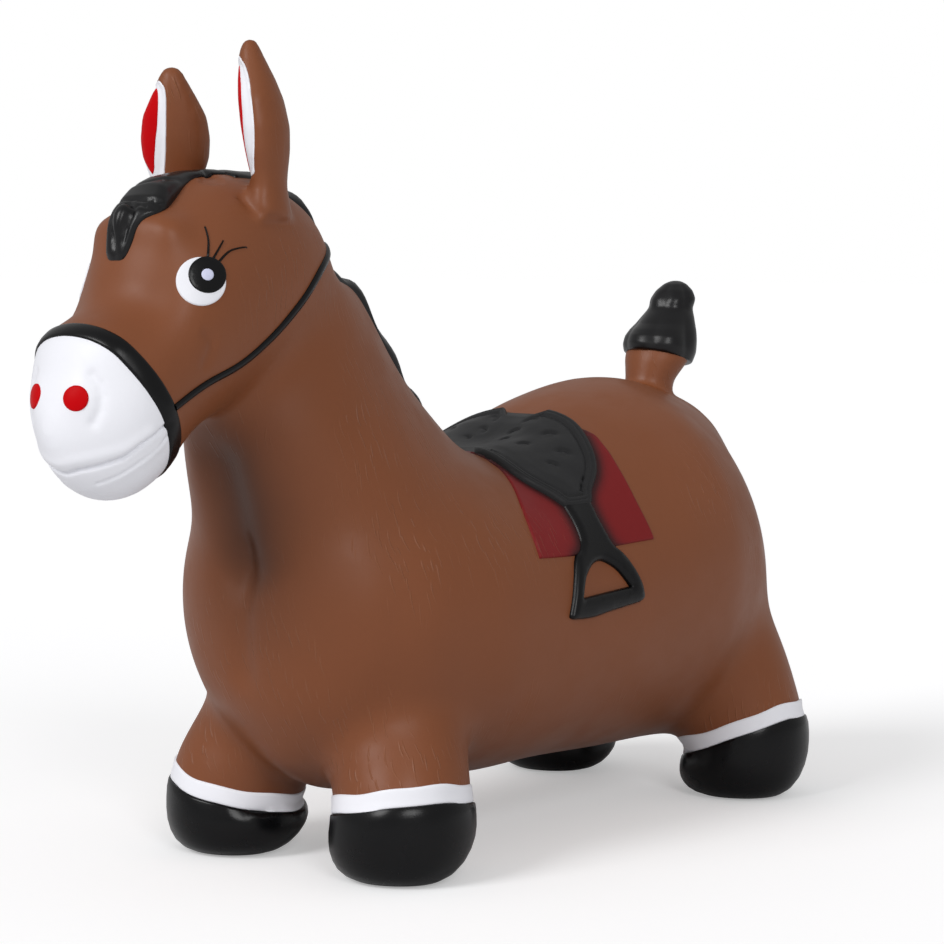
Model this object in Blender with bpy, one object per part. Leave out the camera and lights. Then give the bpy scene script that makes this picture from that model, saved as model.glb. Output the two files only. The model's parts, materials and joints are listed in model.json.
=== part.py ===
"""Bouncy ride-on horse: an inflated PVC skin that stands on four hooves.

Metres, +Z up. The horse looks along -Y and its left side is +X. The origin lies on
the floor under the middle of its overall box.
"""

import math

import bmesh
import bpy
from mathutils import Vector
from mathutils.bvhtree import BVHTree

# Driving dimensions of the whole animal
TRUNK_LENGTH = 0.435
NOSE_LEAD = 0.140
TRUNK_WIDTH = 0.236
BACK_HEIGHT = 0.262
BELLY_CLEARANCE = 0.034
WHEELBASE = 0.317
FRONT_TRACK = 0.1244
REAR_TRACK = 0.1492
REAR_OVERHANG = 0.0485
HEAD_HEIGHT = 0.3865
HEAD_WIDTH = 0.104

# The skin, and what is painted or raised on it, measured outwards from it
SKIN_WALL = 0.0028
TOUCH_GAP = 0.0003
PAINT_THICKNESS = 0.0009
BAND_THICKNESS = 0.0018
RELIEF_THICKNESS = 0.0035
HAIR_THICKNESS = 0.0060
CUT_OVERRUN = 0.010
SKIN_GRAIN = 0.0060
SKIN_SMOOTHING = 30
SKIN_KEEP_SHARE = 0.09
LINING_KEEP_SHARE = 0.36

# Feet, with the slopes at which their tops rise outwards and backwards
HOOF_WIDTH = 0.081
HOOF_HEIGHT = 0.037
BAND_HEIGHT = 0.010
ANKLE_STEP = 0.0035
ANKLE_HEIGHT = 0.039
FOOT_CLEARANCE = 0.002
FRONT_FOOT_SLOPE_SHARES = (0.12, -0.13)
REAR_FOOT_SLOPE_SHARES = (0.38, 0.06)
HOOF_SIDES = 20

# Muzzle and bridle
MUZZLE_PITCH = math.radians(31)
NOSEBAND_WIDTH = 0.0115
STRAP_WIDTH = 0.0034

# Eyes and nostrils
EYE_WIDTH = 0.0252
IRIS_WIDTH = 0.0194
CATCHLIGHT_WIDTH = 0.0068
LASH_WIDTH = 0.0014
NOSTRIL_WIDTH = 0.0130
SPOT_SIDES = 18

# Mane
MANE_WIDTH = 0.028

# Ears, each on a soft root
EAR_LENGTH = {"left": 0.0846, "right": 0.0746}
EAR_WIDTH = 0.035
EAR_DEPTH = 0.024
EAR_SPREAD = 0.068
EAR_TURN = {"left": math.radians(72), "right": math.radians(36)}
EAR_ROOT_HEIGHT = 0.0146
EAR_ROOT_SINK = 0.0075
EAR_LINING_WIDTH = 0.015
EAR_CENTRE_WIDTH = 0.009
EAR_SIDES = 16

# Tail, on a soft root
TAIL_ROOT_WIDTH = 0.031
TAIL_ROOT_HEIGHT = 0.0314
TAIL_ROOT_SINK = 0.006
TUFT_WIDTH = 0.0456
TUFT_HEIGHT = 0.0515
TAIL_SIDES = 20

# Air valve in the belly
VALVE_WIDTH = 0.018
VALVE_BORE = 0.008
VALVE_DEPTH = 0.012
VALVE_LIP = 0.0008
PLUG_HEAD_WIDTH = 0.013
PLUG_HEAD_HEIGHT = 0.002

# Colours, as the plain paint of each piece
BROWN = (0.165, 0.062, 0.035)
BLACK = (0.012, 0.012, 0.014)
WHITE = (0.80, 0.82, 0.86)
RED = (0.62, 0.010, 0.016)
MAROON = (0.19, 0.014, 0.020)
GREY = (0.45, 0.47, 0.50)
SATIN_ROUGHNESS = 0.42

for old in list(bpy.data.objects):
    bpy.data.objects.remove(old, do_unlink=True)

# Places worked out from the sizes above
BODY_LENGTH = TRUNK_LENGTH + NOSE_LEAD
BODY_MIDDLE_SHARE = 0.506
REAR_END_Y = (1 - BODY_MIDDLE_SHARE) * BODY_LENGTH
CHEST_Y = REAR_END_Y - TRUNK_LENGTH
REAR_FEET_Y = REAR_END_Y - REAR_OVERHANG
FRONT_FEET_Y = REAR_FEET_Y - WHEELBASE
ANKLE_WIDTH = HOOF_WIDTH - 2 * ANKLE_STEP
ANKLE_BASE = HOOF_HEIGHT + BAND_HEIGHT
ANKLE_TOP = ANKLE_BASE + ANKLE_HEIGHT
HALF_SPAN = TRUNK_WIDTH / 2 + CUT_OVERRUN
FEET = {
    "front_left": (FRONT_TRACK / 2, FRONT_FEET_Y),
    "front_right": (-FRONT_TRACK / 2, FRONT_FEET_Y),
    "rear_left": (REAR_TRACK / 2, REAR_FEET_Y),
    "rear_right": (-REAR_TRACK / 2, REAR_FEET_Y),
}
SIDES = {"left": 1, "right": -1}
ORIGIN = Vector((0, 0, 0))
ACROSS = Vector((1, 0, 0))
ALONG = Vector((0, 1, 0))
UPWARD = Vector((0, 0, 1))
LAYERS = {
    "paint": (TOUCH_GAP, TOUCH_GAP + PAINT_THICKNESS),
    "band": (TOUCH_GAP, TOUCH_GAP + BAND_THICKNESS),
    "relief": (TOUCH_GAP, TOUCH_GAP + RELIEF_THICKNESS),
    "hair": (TOUCH_GAP, TOUCH_GAP + HAIR_THICKNESS),
}
OVER_PAINT = 2 * TOUCH_GAP + PAINT_THICKNESS
LAYERS["saddle"] = (OVER_PAINT, OVER_PAINT + RELIEF_THICKNESS)


# Helpers that make and finish meshes


def painted(name, colour):
    """One Principled material with a plain colour."""
    material = bpy.data.materials.new(name)
    material.use_nodes = True
    shader = material.node_tree.nodes["Principled BSDF"]
    shader.inputs["Base Color"].default_value = (*colour, 1)
    shader.inputs["Roughness"].default_value = SATIN_ROUGHNESS
    return material


brown = painted("brown", BROWN)
black = painted("black", BLACK)
white = painted("white", WHITE)
red = painted("red", RED)
maroon = painted("maroon", MAROON)
grey = painted("grey", GREY)


def object_from(name, work, material=None):
    """Turns a bmesh into an object of the scene, shaded smooth."""
    bmesh.ops.recalc_face_normals(work, faces=work.faces)
    mesh = bpy.data.meshes.new(name)
    work.to_mesh(mesh)
    work.free()
    mesh.shade_smooth()
    if material:
        mesh.materials.append(material)
    made = bpy.data.objects.new(name, mesh)
    bpy.context.collection.objects.link(made)
    return made


def settle(item):
    """Applies an object's modifiers."""
    bpy.context.view_layer.update()
    graph = bpy.context.evaluated_depsgraph_get()
    mesh = bpy.data.meshes.new_from_object(item.evaluated_get(graph))
    item.modifiers.clear()
    item.data = mesh
    return item


def boolean(item, tool, operation):
    """Joins, cuts or trims an object by another one."""
    change = item.modifiers.new(operation.lower(), "BOOLEAN")
    change.operation = operation
    change.solver = "EXACT"
    change.object = tool
    return settle(item)


def discard(*items):
    for item in items:
        bpy.data.objects.remove(item, do_unlink=True)


def cut_away(item, cutter):
    boolean(item, cutter, "DIFFERENCE")
    discard(cutter)


def ring(work, centre, across, upward, half_width, half_height, sides, taper=0):
    """One closed oval of vertices. Taper draws in its width towards its lower end."""
    corners = []
    for step in range(sides):
        turn = math.tau * step / sides
        wide, high = math.cos(turn), math.sin(turn)
        wide *= 1 - taper * ((1 - high) / 2) ** 2
        offset = across * (wide * half_width) + upward * (high * half_height)
        corners.append(work.verts.new(centre + offset))
    return corners


def bridge(work, rings):
    """Walls between a row of rings, and both ends closed."""
    for first, second in zip(rings, rings[1:]):
        for step in range(len(first)):
            ahead = (step + 1) % len(first)
            work.faces.new((first[step], first[ahead], second[ahead], second[step]))
    work.faces.new(rings[0][::-1])
    work.faces.new(rings[-1])


def turned(name, rows, x, y, material=None):
    """A round body about a vertical axis, from rows of (radius, height)."""
    work = bmesh.new()
    rings = []
    for radius, height in rows:
        rings.append(ring(work, Vector((x, y, height)), ACROSS, ALONG, radius, radius, HOOF_SIDES))
    bridge(work, rings)
    return object_from(name, work, material)


def prism(outline, origin, across, upward, near, far):
    """A cutter: an outline in the plane of two directions, drawn out square to it."""
    outward = across.cross(upward)
    work = bmesh.new()
    layers = []
    for depth in (near, far):
        level = origin + outward * depth
        layers.append([work.verts.new(level + across * u + upward * v) for u, v in outline])
    bridge(work, layers)
    return object_from("cutter", work)


def oval(middle_u, middle_v, half_u, half_v):
    """The outline of a round or oval spot."""
    turns = [math.tau * step / SPOT_SIDES for step in range(SPOT_SIDES)]
    return [(middle_u + half_u * math.cos(turn), middle_v + half_v * math.sin(turn)) for turn in turns]


def stroke(points, widths):
    """The outline of a band that follows a line of points, as wide as told at each."""
    left, right = [], []
    for index, (u, v) in enumerate(points):
        ahead = Vector(points[min(index + 1, len(points) - 1)])
        behind = Vector(points[max(index - 1, 0)])
        run = (ahead - behind).normalized()
        side = Vector((-run.y, run.x)) * widths[index] / 2
        left.append((u + side.x, v + side.y))
        right.append((u - side.x, v - side.y))
    return left + right[::-1]


def body_y(along):
    """The place along the whole body of one share of its length, from the nose."""
    return (along - BODY_MIDDLE_SHARE) * BODY_LENGTH


def on_neck(shares):
    """A side view outline from shares of the body's length and the head's height."""
    return [(body_y(along), height * HEAD_HEIGHT) for along, height in shares]


def on_trunk(shares, lift=0):
    """A side view outline from shares of the trunk's length and the back's height."""
    return [(CHEST_Y + along * TRUNK_LENGTH, height * BACK_HEIGHT + lift) for along, height in shares]


def side_cutter(outline, near, far):
    """A cutter along X from an outline seen from the side."""
    return prism(outline, ORIGIN, ALONG, UPWARD, near, far)


# The one inflated skin, before it is cut for the pieces that move

TRUNK_SIDES = 32
HEAD_SIDES = 28
LEG_SIDES = 24
TRUNK_SHARES = (
    # along, middle height, half width, half height
    (0.018, 0.580, 0.22, 0.33),
    (0.036, 0.580, 0.42, 0.54),
    (0.076, 0.570, 0.60, 0.71),
    (0.155, 0.550, 0.76, 0.85),
    (0.271, 0.530, 0.86, 0.87),
    (0.400, 0.500, 0.89, 0.84),
    (0.480, 0.505, 0.90, 0.84),
    (0.547, 0.520, 0.92, 0.88),
    (0.662, 0.550, 0.95, 0.97),
    (0.754, 0.565, 0.95, 1.01),
    (0.850, 0.540, 0.85, 0.97),
    (0.920, 0.500, 0.70, 0.87),
    (0.969, 0.460, 0.47, 0.66),
    (0.990, 0.440, 0.20, 0.32),
)
NECK_SHARES = (
    # height, front, back, half width
    (0.340, 0.262, 0.655, 0.760),
    (0.436, 0.254, 0.672, 0.750),
    (0.505, 0.243, 0.645, 0.710),
    (0.564, 0.230, 0.585, 0.640),
    (0.615, 0.219, 0.540, 0.570),
    (0.656, 0.216, 0.507, 0.520),
    (0.695, 0.217, 0.479, 0.475),
    (0.738, 0.223, 0.457, 0.425),
    (0.785, 0.231, 0.436, 0.375),
    (0.846, 0.240, 0.403, 0.320),
)
HEAD_SHARES = (
    # along, height, lean in quarter turns, half width, half height
    (0.018, 0.624, 0.30, 0.08, 0.16),
    (0.026, 0.620, 0.30, 0.19, 0.32),
    (0.037, 0.620, 0.30, 0.34, 0.52),
    (0.051, 0.626, 0.31, 0.55, 0.68),
    (0.067, 0.643, 0.33, 0.79, 0.81),
    (0.086, 0.673, 0.34, 0.88, 0.87),
    (0.100, 0.697, 0.34, 0.86, 0.86),
    (0.122, 0.727, 0.36, 0.87, 0.84),
    (0.150, 0.768, 0.36, 0.93, 1.00),
    (0.184, 0.813, 0.31, 0.97, 1.13),
    (0.223, 0.838, 0.17, 0.97, 1.17),
    (0.262, 0.843, 0.00, 0.93, 1.10),
    (0.300, 0.830, -0.17, 0.82, 0.94),
    (0.330, 0.810, -0.28, 0.56, 0.66),
)
LEG_SHARES = (
    # height, radius, shift towards the middle of the belly
    (0.12, 0.98, 0.00),
    (0.55, 1.00, 0.00),
    (0.80, 1.00, 0.18),
    (1.00, 1.02, 0.38),
    (1.30, 1.00, 0.75),
    (1.60, 0.70, 1.00),
)
FRONT_LEG_LEAN_SHARE = 1.0
REAR_LEG_LEAN_SHARE = 0.5
CREST_TAPER_SHARE = 0.50


def add_trunk(work):
    """The barrel of the body, as upright rings from the chest to the rump."""
    half_body = (BACK_HEIGHT - BELLY_CLEARANCE) / 2
    rings = []
    for along, middle, wide, high in TRUNK_SHARES:
        centre = Vector((0, CHEST_Y + along * TRUNK_LENGTH, middle * BACK_HEIGHT))
        half_width = wide * TRUNK_WIDTH / 2
        rings.append(ring(work, centre, ACROSS, UPWARD, half_width, high * half_body, TRUNK_SIDES))
    bridge(work, rings)


def add_neck(work):
    """Level rings from the chest up to the head, drawn in towards the crest."""
    rings = []
    for height, front, back, wide in NECK_SHARES:
        centre = Vector((0, body_y((front + back) / 2), height * HEAD_HEIGHT))
        half_width = wide * TRUNK_WIDTH / 2
        half_depth = (back - front) / 2 * BODY_LENGTH
        sizes = (half_width, half_depth, TRUNK_SIDES, CREST_TAPER_SHARE)
        rings.append(ring(work, centre, ACROSS, -ALONG, *sizes))
    bridge(work, rings)


def add_head(work):
    """Leaning rings from the tip of the muzzle over the brow to the poll."""
    rings = []
    for along, height, lean, wide, high in HEAD_SHARES:
        centre = Vector((0, body_y(along), height * HEAD_HEIGHT))
        turn = lean * math.pi / 2
        upward = Vector((0, -math.sin(turn), math.cos(turn)))
        sizes = (wide * HEAD_WIDTH / 2, high * HEAD_WIDTH / 2, HEAD_SIDES)
        rings.append(ring(work, centre, ACROSS, upward, *sizes))
    bridge(work, rings)


def add_leg(work, x, y):
    """A stub of leg from inside the hoof up into the trunk, leaning in as it rises."""
    lean = FRONT_LEG_LEAN_SHARE if y < 0 else REAR_LEG_LEAN_SHARE
    rings = []
    for height, wide, inward in LEG_SHARES:
        radius = wide * ANKLE_WIDTH / 2
        shift = inward * lean * ANKLE_WIDTH / 2
        centre = Vector((x - math.copysign(shift, x), y - math.copysign(shift, y), height * ANKLE_TOP))
        rings.append(ring(work, centre, ACROSS, ALONG, radius, radius, LEG_SIDES))
    bridge(work, rings)


def make_skin():
    """The whole outer surface, as one closed smooth body."""
    work = bmesh.new()
    add_trunk(work)
    add_neck(work)
    add_head(work)
    for x, y in FEET.values():
        add_leg(work, x, y)
    form = object_from("skin_form", work)
    melt = form.modifiers.new("melt", "REMESH")
    melt.mode = "VOXEL"
    melt.voxel_size = SKIN_GRAIN
    soften = form.modifiers.new("soften", "SMOOTH")
    soften.iterations = SKIN_SMOOTHING
    thin = form.modifiers.new("thin", "DECIMATE")
    thin.ratio = SKIN_KEEP_SHARE
    thin.use_collapse_triangulate = True
    mesh = settle(form).data.copy()
    discard(form)
    return mesh


SKIN = make_skin()
SKIN_TREE = BVHTree.FromPolygons([v.co for v in SKIN.vertices], [tuple(p.vertices) for p in SKIN.polygons])


def skin_height(x, y, start, direction):
    """Where the skin is met on a vertical line, from above or from below."""
    return SKIN_TREE.ray_cast(Vector((x, y, start)), direction)[0].z


def grown(name, distance, base=SKIN):
    """A copy of the skin, or of another surface, moved outwards everywhere by one distance."""
    mesh = base.copy()
    for corner, normal in zip(mesh.vertices, [vertex.normal.copy() for vertex in mesh.vertices]):
        corner.co += normal * distance
    made = bpy.data.objects.new(name, mesh)
    bpy.context.collection.objects.link(made)
    return made


def on_skin(name, cutter, layer, material, base=SKIN):
    """A raised piece that follows a surface inside a cutter, between two distances from it."""
    inner, outer = LAYERS[layer]
    piece = grown(name, outer, base)
    boolean(piece, cutter, "INTERSECT")
    core = grown("core", inner, base)
    boolean(piece, core, "DIFFERENCE")
    discard(core, cutter)
    piece.data.materials.clear()
    piece.data.materials.append(material)
    return piece


# The hollow skin, cut into body, muzzle and ankles

MUZZLE_AXIS = Vector((0, -math.cos(MUZZLE_PITCH), -math.sin(MUZZLE_PITCH)))
MUZZLE_UP = Vector((0, -math.sin(MUZZLE_PITCH), math.cos(MUZZLE_PITCH)))
MUZZLE_REACH_SHARE = 0.55
NOSEBAND_PLACE_SHARES = (0.0946, 0.697)


def hollow_skin():
    """The skin with its air space inside."""
    whole = grown("whole", 0)
    space = grown("space", -SKIN_WALL)
    thin = space.modifiers.new("thin", "DECIMATE")
    thin.ratio = LINING_KEEP_SHARE
    thin.use_collapse_triangulate = True
    cut_away(whole, settle(space))
    return whole


def muzzle_block(start, length=HEAD_WIDTH):
    """A block round the muzzle's axis that begins so far in front of the noseband's rear edge."""
    reach = MUZZLE_REACH_SHARE * HEAD_WIDTH
    square = [(-reach, -reach), (reach, -reach), (reach, reach), (-reach, reach)]
    along, height = NOSEBAND_PLACE_SHARES
    place = Vector((0, body_y(along), height * HEAD_HEIGHT))
    return prism(square, place, ACROSS, MUZZLE_UP, start, start + length)


def foot_slopes(x, y):
    """How far a foot's top rises along +X and along +Y."""
    outwards, backwards = FRONT_FOOT_SLOPE_SHARES if y < 0 else REAR_FOOT_SLOPE_SHARES
    return math.copysign(outwards, x), backwards


def tilted(item, x, y):
    """Raises the outer side of a foot, more and more from the sole up to the hoof's rim."""
    slope_x, slope_y = foot_slopes(x, y)
    for corner in item.data.vertices:
        up = min(max(corner.co.z / HOOF_HEIGHT, 0), 1)
        corner.co.z += up * ((corner.co.x - x) * slope_x + (corner.co.y - y) * slope_y)
    return item


def ankle_zone(x, y):
    """The column round a leg in which the ankle gives. Its lower end follows the band."""
    radius = HOOF_WIDTH / 2 + FOOT_CLEARANCE - TOUCH_GAP
    zone = turned("zone", [(radius, ANKLE_BASE + TOUCH_GAP), (radius, ANKLE_TOP - TOUCH_GAP)], x, y)
    slope_x, slope_y = foot_slopes(x, y)
    for corner in zone.data.vertices:
        if corner.co.z < (ANKLE_BASE + ANKLE_TOP) / 2:
            corner.co.z += (corner.co.x - x) * slope_x + (corner.co.y - y) * slope_y
    return zone


def part_of(whole, name, cutter, operation, material):
    """A named piece of the hollow skin, inside or outside a cutter."""
    piece = bpy.data.objects.new(name, whole.data.copy())
    bpy.context.collection.objects.link(piece)
    boolean(piece, cutter, operation)
    discard(cutter)
    piece.data.materials.clear()
    piece.data.materials.append(material)
    return piece


whole = hollow_skin()
half_gap = TOUCH_GAP / 2
part_of(whole, "muzzle", muzzle_block(NOSEBAND_WIDTH / 2 + half_gap), "INTERSECT", white)
body = part_of(whole, "body_skin", muzzle_block(NOSEBAND_WIDTH / 2 - half_gap), "DIFFERENCE", brown)
for name, (x, y) in FEET.items():
    part_of(whole, "ankle_" + name, ankle_zone(x, y), "INTERSECT", brown)
    radius = HOOF_WIDTH / 2 + FOOT_CLEARANCE
    cut_away(body, turned("cutter", [(radius, 0), (radius, ANKLE_TOP)], x, y))
discard(whole)


# Hooves and the white bands above them

HOOF_SHARES = (
    # radius, height
    (0.52, 0.00),
    (0.74, 0.07),
    (0.92, 0.28),
    (1.00, 0.56),
    (0.99, 0.78),
    (0.95, 1.00),
)


def add_foot(name, x, y):
    """A hollow hoof, open above, and the band that closes on it."""
    outer = [(share * HOOF_WIDTH / 2, height * HOOF_HEIGHT) for share, height in HOOF_SHARES]
    inner = [(radius - SKIN_WALL, max(height, SKIN_WALL)) for radius, height in outer[1::2]]
    inner[-1] = (inner[-1][0], HOOF_HEIGHT + CUT_OVERRUN)
    hoof = turned("hoof_" + name, outer, x, y, black)
    cut_away(hoof, turned("cutter", inner, x, y))
    tilted(hoof, x, y)
    start = HOOF_HEIGHT + TOUCH_GAP
    rim = outer[-1][0] + BAND_THICKNESS / 2
    rows = [(rim, start), (ANKLE_WIDTH / 2 + BAND_THICKNESS / 2, ANKLE_BASE)]
    band = turned("hoof_band_" + name, rows, x, y, white)
    bore = ANKLE_WIDTH / 2 - SKIN_WALL
    cut_away(band, turned("cutter", [(bore, start - CUT_OVERRUN), (bore, ANKLE_BASE + CUT_OVERRUN)], x, y))
    tilted(band, x, y)


for name, (x, y) in FEET.items():
    add_foot(name, x, y)


# Noseband, bridle straps, eyes and nostrils

STRAP_SHARES = (
    # along, height, width
    (0.098, 0.680, 1.25),
    (0.131, 0.704, 1.15),
    (0.182, 0.733, 1.05),
    (0.217, 0.765, 1.00),
    (0.255, 0.812, 0.90),
    (0.286, 0.858, 0.75),
    (0.306, 0.905, 0.65),
    (0.318, 0.975, 0.55),
)
# The way a face cutter comes in, and the places it comes in at: out, along, height
FACE_TURN_SHARES = (0.68, -0.72, 0.10)
FACE_CUT_SHARE = 0.25
IRIS_PLACE_SHARES = (0.79, 0.1438, 0.853)
NOSTRIL_PLACE_SHARES = (0.28, 0.029, 0.694)
# In eye widths: where the white lies from the iris, and the line of each lash
WHITE_SHIFT_SHARES = (-0.119, -0.131)
LASH_SHARES = (
    ((0.00, 0.36), (-0.01, 0.69), (-0.04, 0.98)),
    ((0.12, 0.34), (0.22, 0.55), (0.30, 0.72)),
    ((0.25, 0.25), (0.37, 0.47), (0.56, 0.58), (0.77, 0.59)),
)
LASH_TIP_SHARE = 0.6
LASH_DEPTH_SHARE = 0.9


def add_bridle_strap(side_name, side):
    """A thin strap from the noseband up to the mane behind the ear."""
    points = on_neck([(along, height) for along, height, wide in STRAP_SHARES])
    widths = [wide * STRAP_WIDTH for along, height, wide in STRAP_SHARES]
    inner = side * (MANE_WIDTH / 2 + TOUCH_GAP)
    cutter = side_cutter(stroke(points, widths), inner, side * HEAD_WIDTH)
    strap = on_skin("bridle_strap_" + side_name, cutter, "band", black)
    cut_away(strap, muzzle_block(-TOUCH_GAP))


def face_cutter(outline, place_shares, side, depth_share=1):
    """A cutter that comes in square to one side of the face."""
    out, along, height = place_shares
    facing = Vector(FACE_TURN_SHARES)
    outward = Vector((facing.x * side, facing.y, facing.z)).normalized()
    across = UPWARD.cross(outward).normalized()
    place = Vector((out * side * HEAD_WIDTH / 2, body_y(along), height * HEAD_HEIGHT))
    depth = FACE_CUT_SHARE * depth_share * HEAD_WIDTH
    return prism([(u * side, v) for u, v in outline], place, across, outward.cross(across), -depth, depth)


def spot(width, side, place_shares=IRIS_PLACE_SHARES):
    return face_cutter(oval(0, 0, width / 2, width / 2), place_shares, side)


def add_eye(side_name, side):
    """A white disc, the iris with its three lashes let into it, and a light spot in that."""
    shift_u, shift_v = WHITE_SHIFT_SHARES
    disc = oval(shift_u * EYE_WIDTH, shift_v * EYE_WIDTH, EYE_WIDTH / 2, EYE_WIDTH / 2)
    eye = on_skin("eye_white_" + side_name, face_cutter(disc, IRIS_PLACE_SHARES, side), "paint", white)
    cut_away(eye, spot(IRIS_WIDTH + 2 * TOUCH_GAP, side))
    cutter = spot(IRIS_WIDTH, side)
    for lash in LASH_SHARES:
        points = [(u * EYE_WIDTH, v * EYE_WIDTH) for u, v in lash]
        widths = [LASH_WIDTH] * (len(points) - 1) + [LASH_WIDTH * LASH_TIP_SHARE]
        line = face_cutter(stroke(points, widths), IRIS_PLACE_SHARES, side, LASH_DEPTH_SHARE)
        boolean(cutter, line, "UNION")
        discard(line)
    iris = on_skin("eye_iris_" + side_name, cutter, "paint", black)
    cut_away(iris, spot(CATCHLIGHT_WIDTH + 2 * TOUCH_GAP, side))
    on_skin("eye_catchlight_" + side_name, spot(CATCHLIGHT_WIDTH, side), "paint", grey)


on_skin("noseband", muzzle_block(0, NOSEBAND_WIDTH), "band", black)
for side_name, side in SIDES.items():
    add_bridle_strap(side_name, side)
    add_eye(side_name, side)
    on_skin("nostril_" + side_name, spot(NOSTRIL_WIDTH, side, NOSTRIL_PLACE_SHARES), "paint", red)


# Forelock and mane

FORELOCK_FLOOR_SHARE = 0.8
FORELOCK_SHARES = (
    # across, along
    (0.35, 0.228),
    (0.27, 0.203),
    (0.10, 0.182),
    (0.13, 0.147),
    (0.14, 0.125),
    (0.06, 0.108),
    (-0.14, 0.100),
    (-0.34, 0.109),
    (-0.47, 0.135),
    (-0.52, 0.161),
    (-0.44, 0.196),
    (-0.35, 0.228),
)
MANE_FLOOR_SHARE = 0.5
MANE_SHARES = (
    # along, half width
    (0.229, 1.00),
    (0.290, 0.95),
    (0.340, 1.05),
    (0.400, 0.75),
    (0.450, 0.85),
    (0.500, 0.55),
    (0.540, 0.20),
)
THROAT_SHARES = (
    # along, height of the room below the crest that the mane stays out of
    (0.15, 0.30),
    (0.55, 0.30),
    (0.50, 0.55),
    (0.43, 0.64),
    (0.36, 0.78),
    (0.30, 0.86),
    (0.15, 0.86),
)


def add_hair():
    """A lock that falls between the ears over the brow, and a ridge down the crest of the neck."""
    top = HEAD_HEIGHT + CUT_OVERRUN
    outline = [(out * HEAD_WIDTH / 2, body_y(along)) for out, along in FORELOCK_SHARES]
    cutter = prism(outline, ORIGIN, ACROSS, ALONG, FORELOCK_FLOOR_SHARE * HEAD_HEIGHT, top)
    on_skin("forelock", cutter, "hair", black)
    right = [(-wide * MANE_WIDTH / 2, body_y(along) + TOUCH_GAP) for along, wide in MANE_SHARES]
    left = [(-u, v) for u, v in right]
    cutter = prism(left + right[::-1], ORIGIN, ACROSS, ALONG, MANE_FLOOR_SHARE * HEAD_HEIGHT, top)
    cut_away(cutter, side_cutter(on_neck(THROAT_SHARES), -MANE_WIDTH, MANE_WIDTH))
    saddle_front = [(y - TOUCH_GAP, z) for y, z in on_trunk(SADDLE_SHARES)]
    cut_away(cutter, side_cutter(saddle_front, -MANE_WIDTH, MANE_WIDTH))
    on_skin("mane", cutter, "relief", black)


# Saddle blanket, saddle, stirrup straps and stirrups, as outlines seen from the side

SADDLE_SHARES = (
    # along, height
    (0.433, 0.740),
    (0.417, 0.761),
    (0.399, 0.794),
    (0.396, 0.832),
    (0.413, 0.863),
    (0.436, 0.890),
    (0.454, 0.916),
    (0.471, 1.060),
    (0.524, 1.060),
    (0.540, 0.947),
    (0.566, 0.938),
    (0.585, 0.918),
    (0.566, 0.878),
    (0.544, 0.833),
    (0.524, 0.798),
    (0.498, 0.766),
    (0.490, 0.740),
)
STIRRUP_STRAP_SHARES = (
    (0.433, 0.740),
    (0.436, 0.687),
    (0.420, 0.640),
    (0.483, 0.640),
    (0.481, 0.701),
    (0.490, 0.740),
)
STIRRUP_SHARES = (
    (0.406, 0.640),
    (0.377, 0.519),
    (0.410, 0.515),
    (0.524, 0.540),
    (0.518, 0.584),
    (0.497, 0.640),
)
STIRRUP_HOLE_SHARES = (
    (0.400, 0.558),
    (0.416, 0.600),
    (0.440, 0.622),
    (0.466, 0.615),
    (0.495, 0.566),
)
BLANKET_SHARES = (
    (0.403, 0.848),
    (0.397, 0.826),
    (0.346, 0.650),
    (0.458, 0.646),
    (0.569, 0.663),
    (0.572, 0.831),
    (0.582, 0.903),
    (0.551, 0.929),
    (0.524, 0.944),
    (0.514, 1.060),
    (0.484, 1.060),
    (0.461, 0.912),
)


def add_saddle():
    """The blanket lies on the skin, the saddle on it, and the straps and stirrups hang below."""
    cutter = side_cutter(on_trunk(BLANKET_SHARES), -HALF_SPAN, HALF_SPAN)
    on_skin("saddle_blanket", cutter, "paint", maroon)
    cutter = side_cutter(on_trunk(SADDLE_SHARES, TOUCH_GAP), -HALF_SPAN, HALF_SPAN)
    on_skin("saddle", cutter, "saddle", black)
    for side_name, side in SIDES.items():
        span = side * HALF_SPAN
        cutter = side_cutter(on_trunk(STIRRUP_STRAP_SHARES), 0, span)
        on_skin("stirrup_strap_" + side_name, cutter, "saddle", black)
        cutter = side_cutter(on_trunk(STIRRUP_SHARES, -TOUCH_GAP), 0, span)
        stirrup = on_skin("stirrup_" + side_name, cutter, "relief", black)
        cut_away(stirrup, side_cutter(on_trunk(STIRRUP_HOLE_SHARES), 0, span))


add_hair()
add_saddle()


# Ears on their soft roots

EAR_PLACE_SHARE = 0.2365
EAR_SHARES = (
    # height above the root, half width, half depth, curl towards the face
    (0.00, 0.78, 0.76, 0.00),
    (0.18, 0.96, 0.90, 0.03),
    (0.36, 1.00, 1.00, 0.08),
    (0.56, 0.91, 0.93, 0.19),
    (0.71, 0.66, 0.74, 0.32),
    (0.855, 0.39, 0.45, 0.45),
    (0.95, 0.20, 0.25, 0.50),
    (1.00, 0.07, 0.10, 0.50),
)
EAR_ROOT_SHARES = (
    # height, from the sunken end to the ear, and spread
    (0.0, 1.25),
    (0.45, 1.08),
    (0.72, 0.98),
    (1.0, 1.00),
)
# Middle across, middle height and half height of the painted ovals inside the ear
EAR_LINING_SHARES = (0.66, 0.44, 0.41)
EAR_CENTRE_SHARES = (0.62, 0.42, 0.33)
EAR_FRONT_SHARE = 0.125


def ear_place(side):
    """The point on the skin that an ear stands on."""
    x, y = EAR_SPREAD / 2 * side, body_y(EAR_PLACE_SHARE)
    return Vector((x, y, skin_height(x, y, 2 * HEAD_HEIGHT, -UPWARD)))


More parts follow.
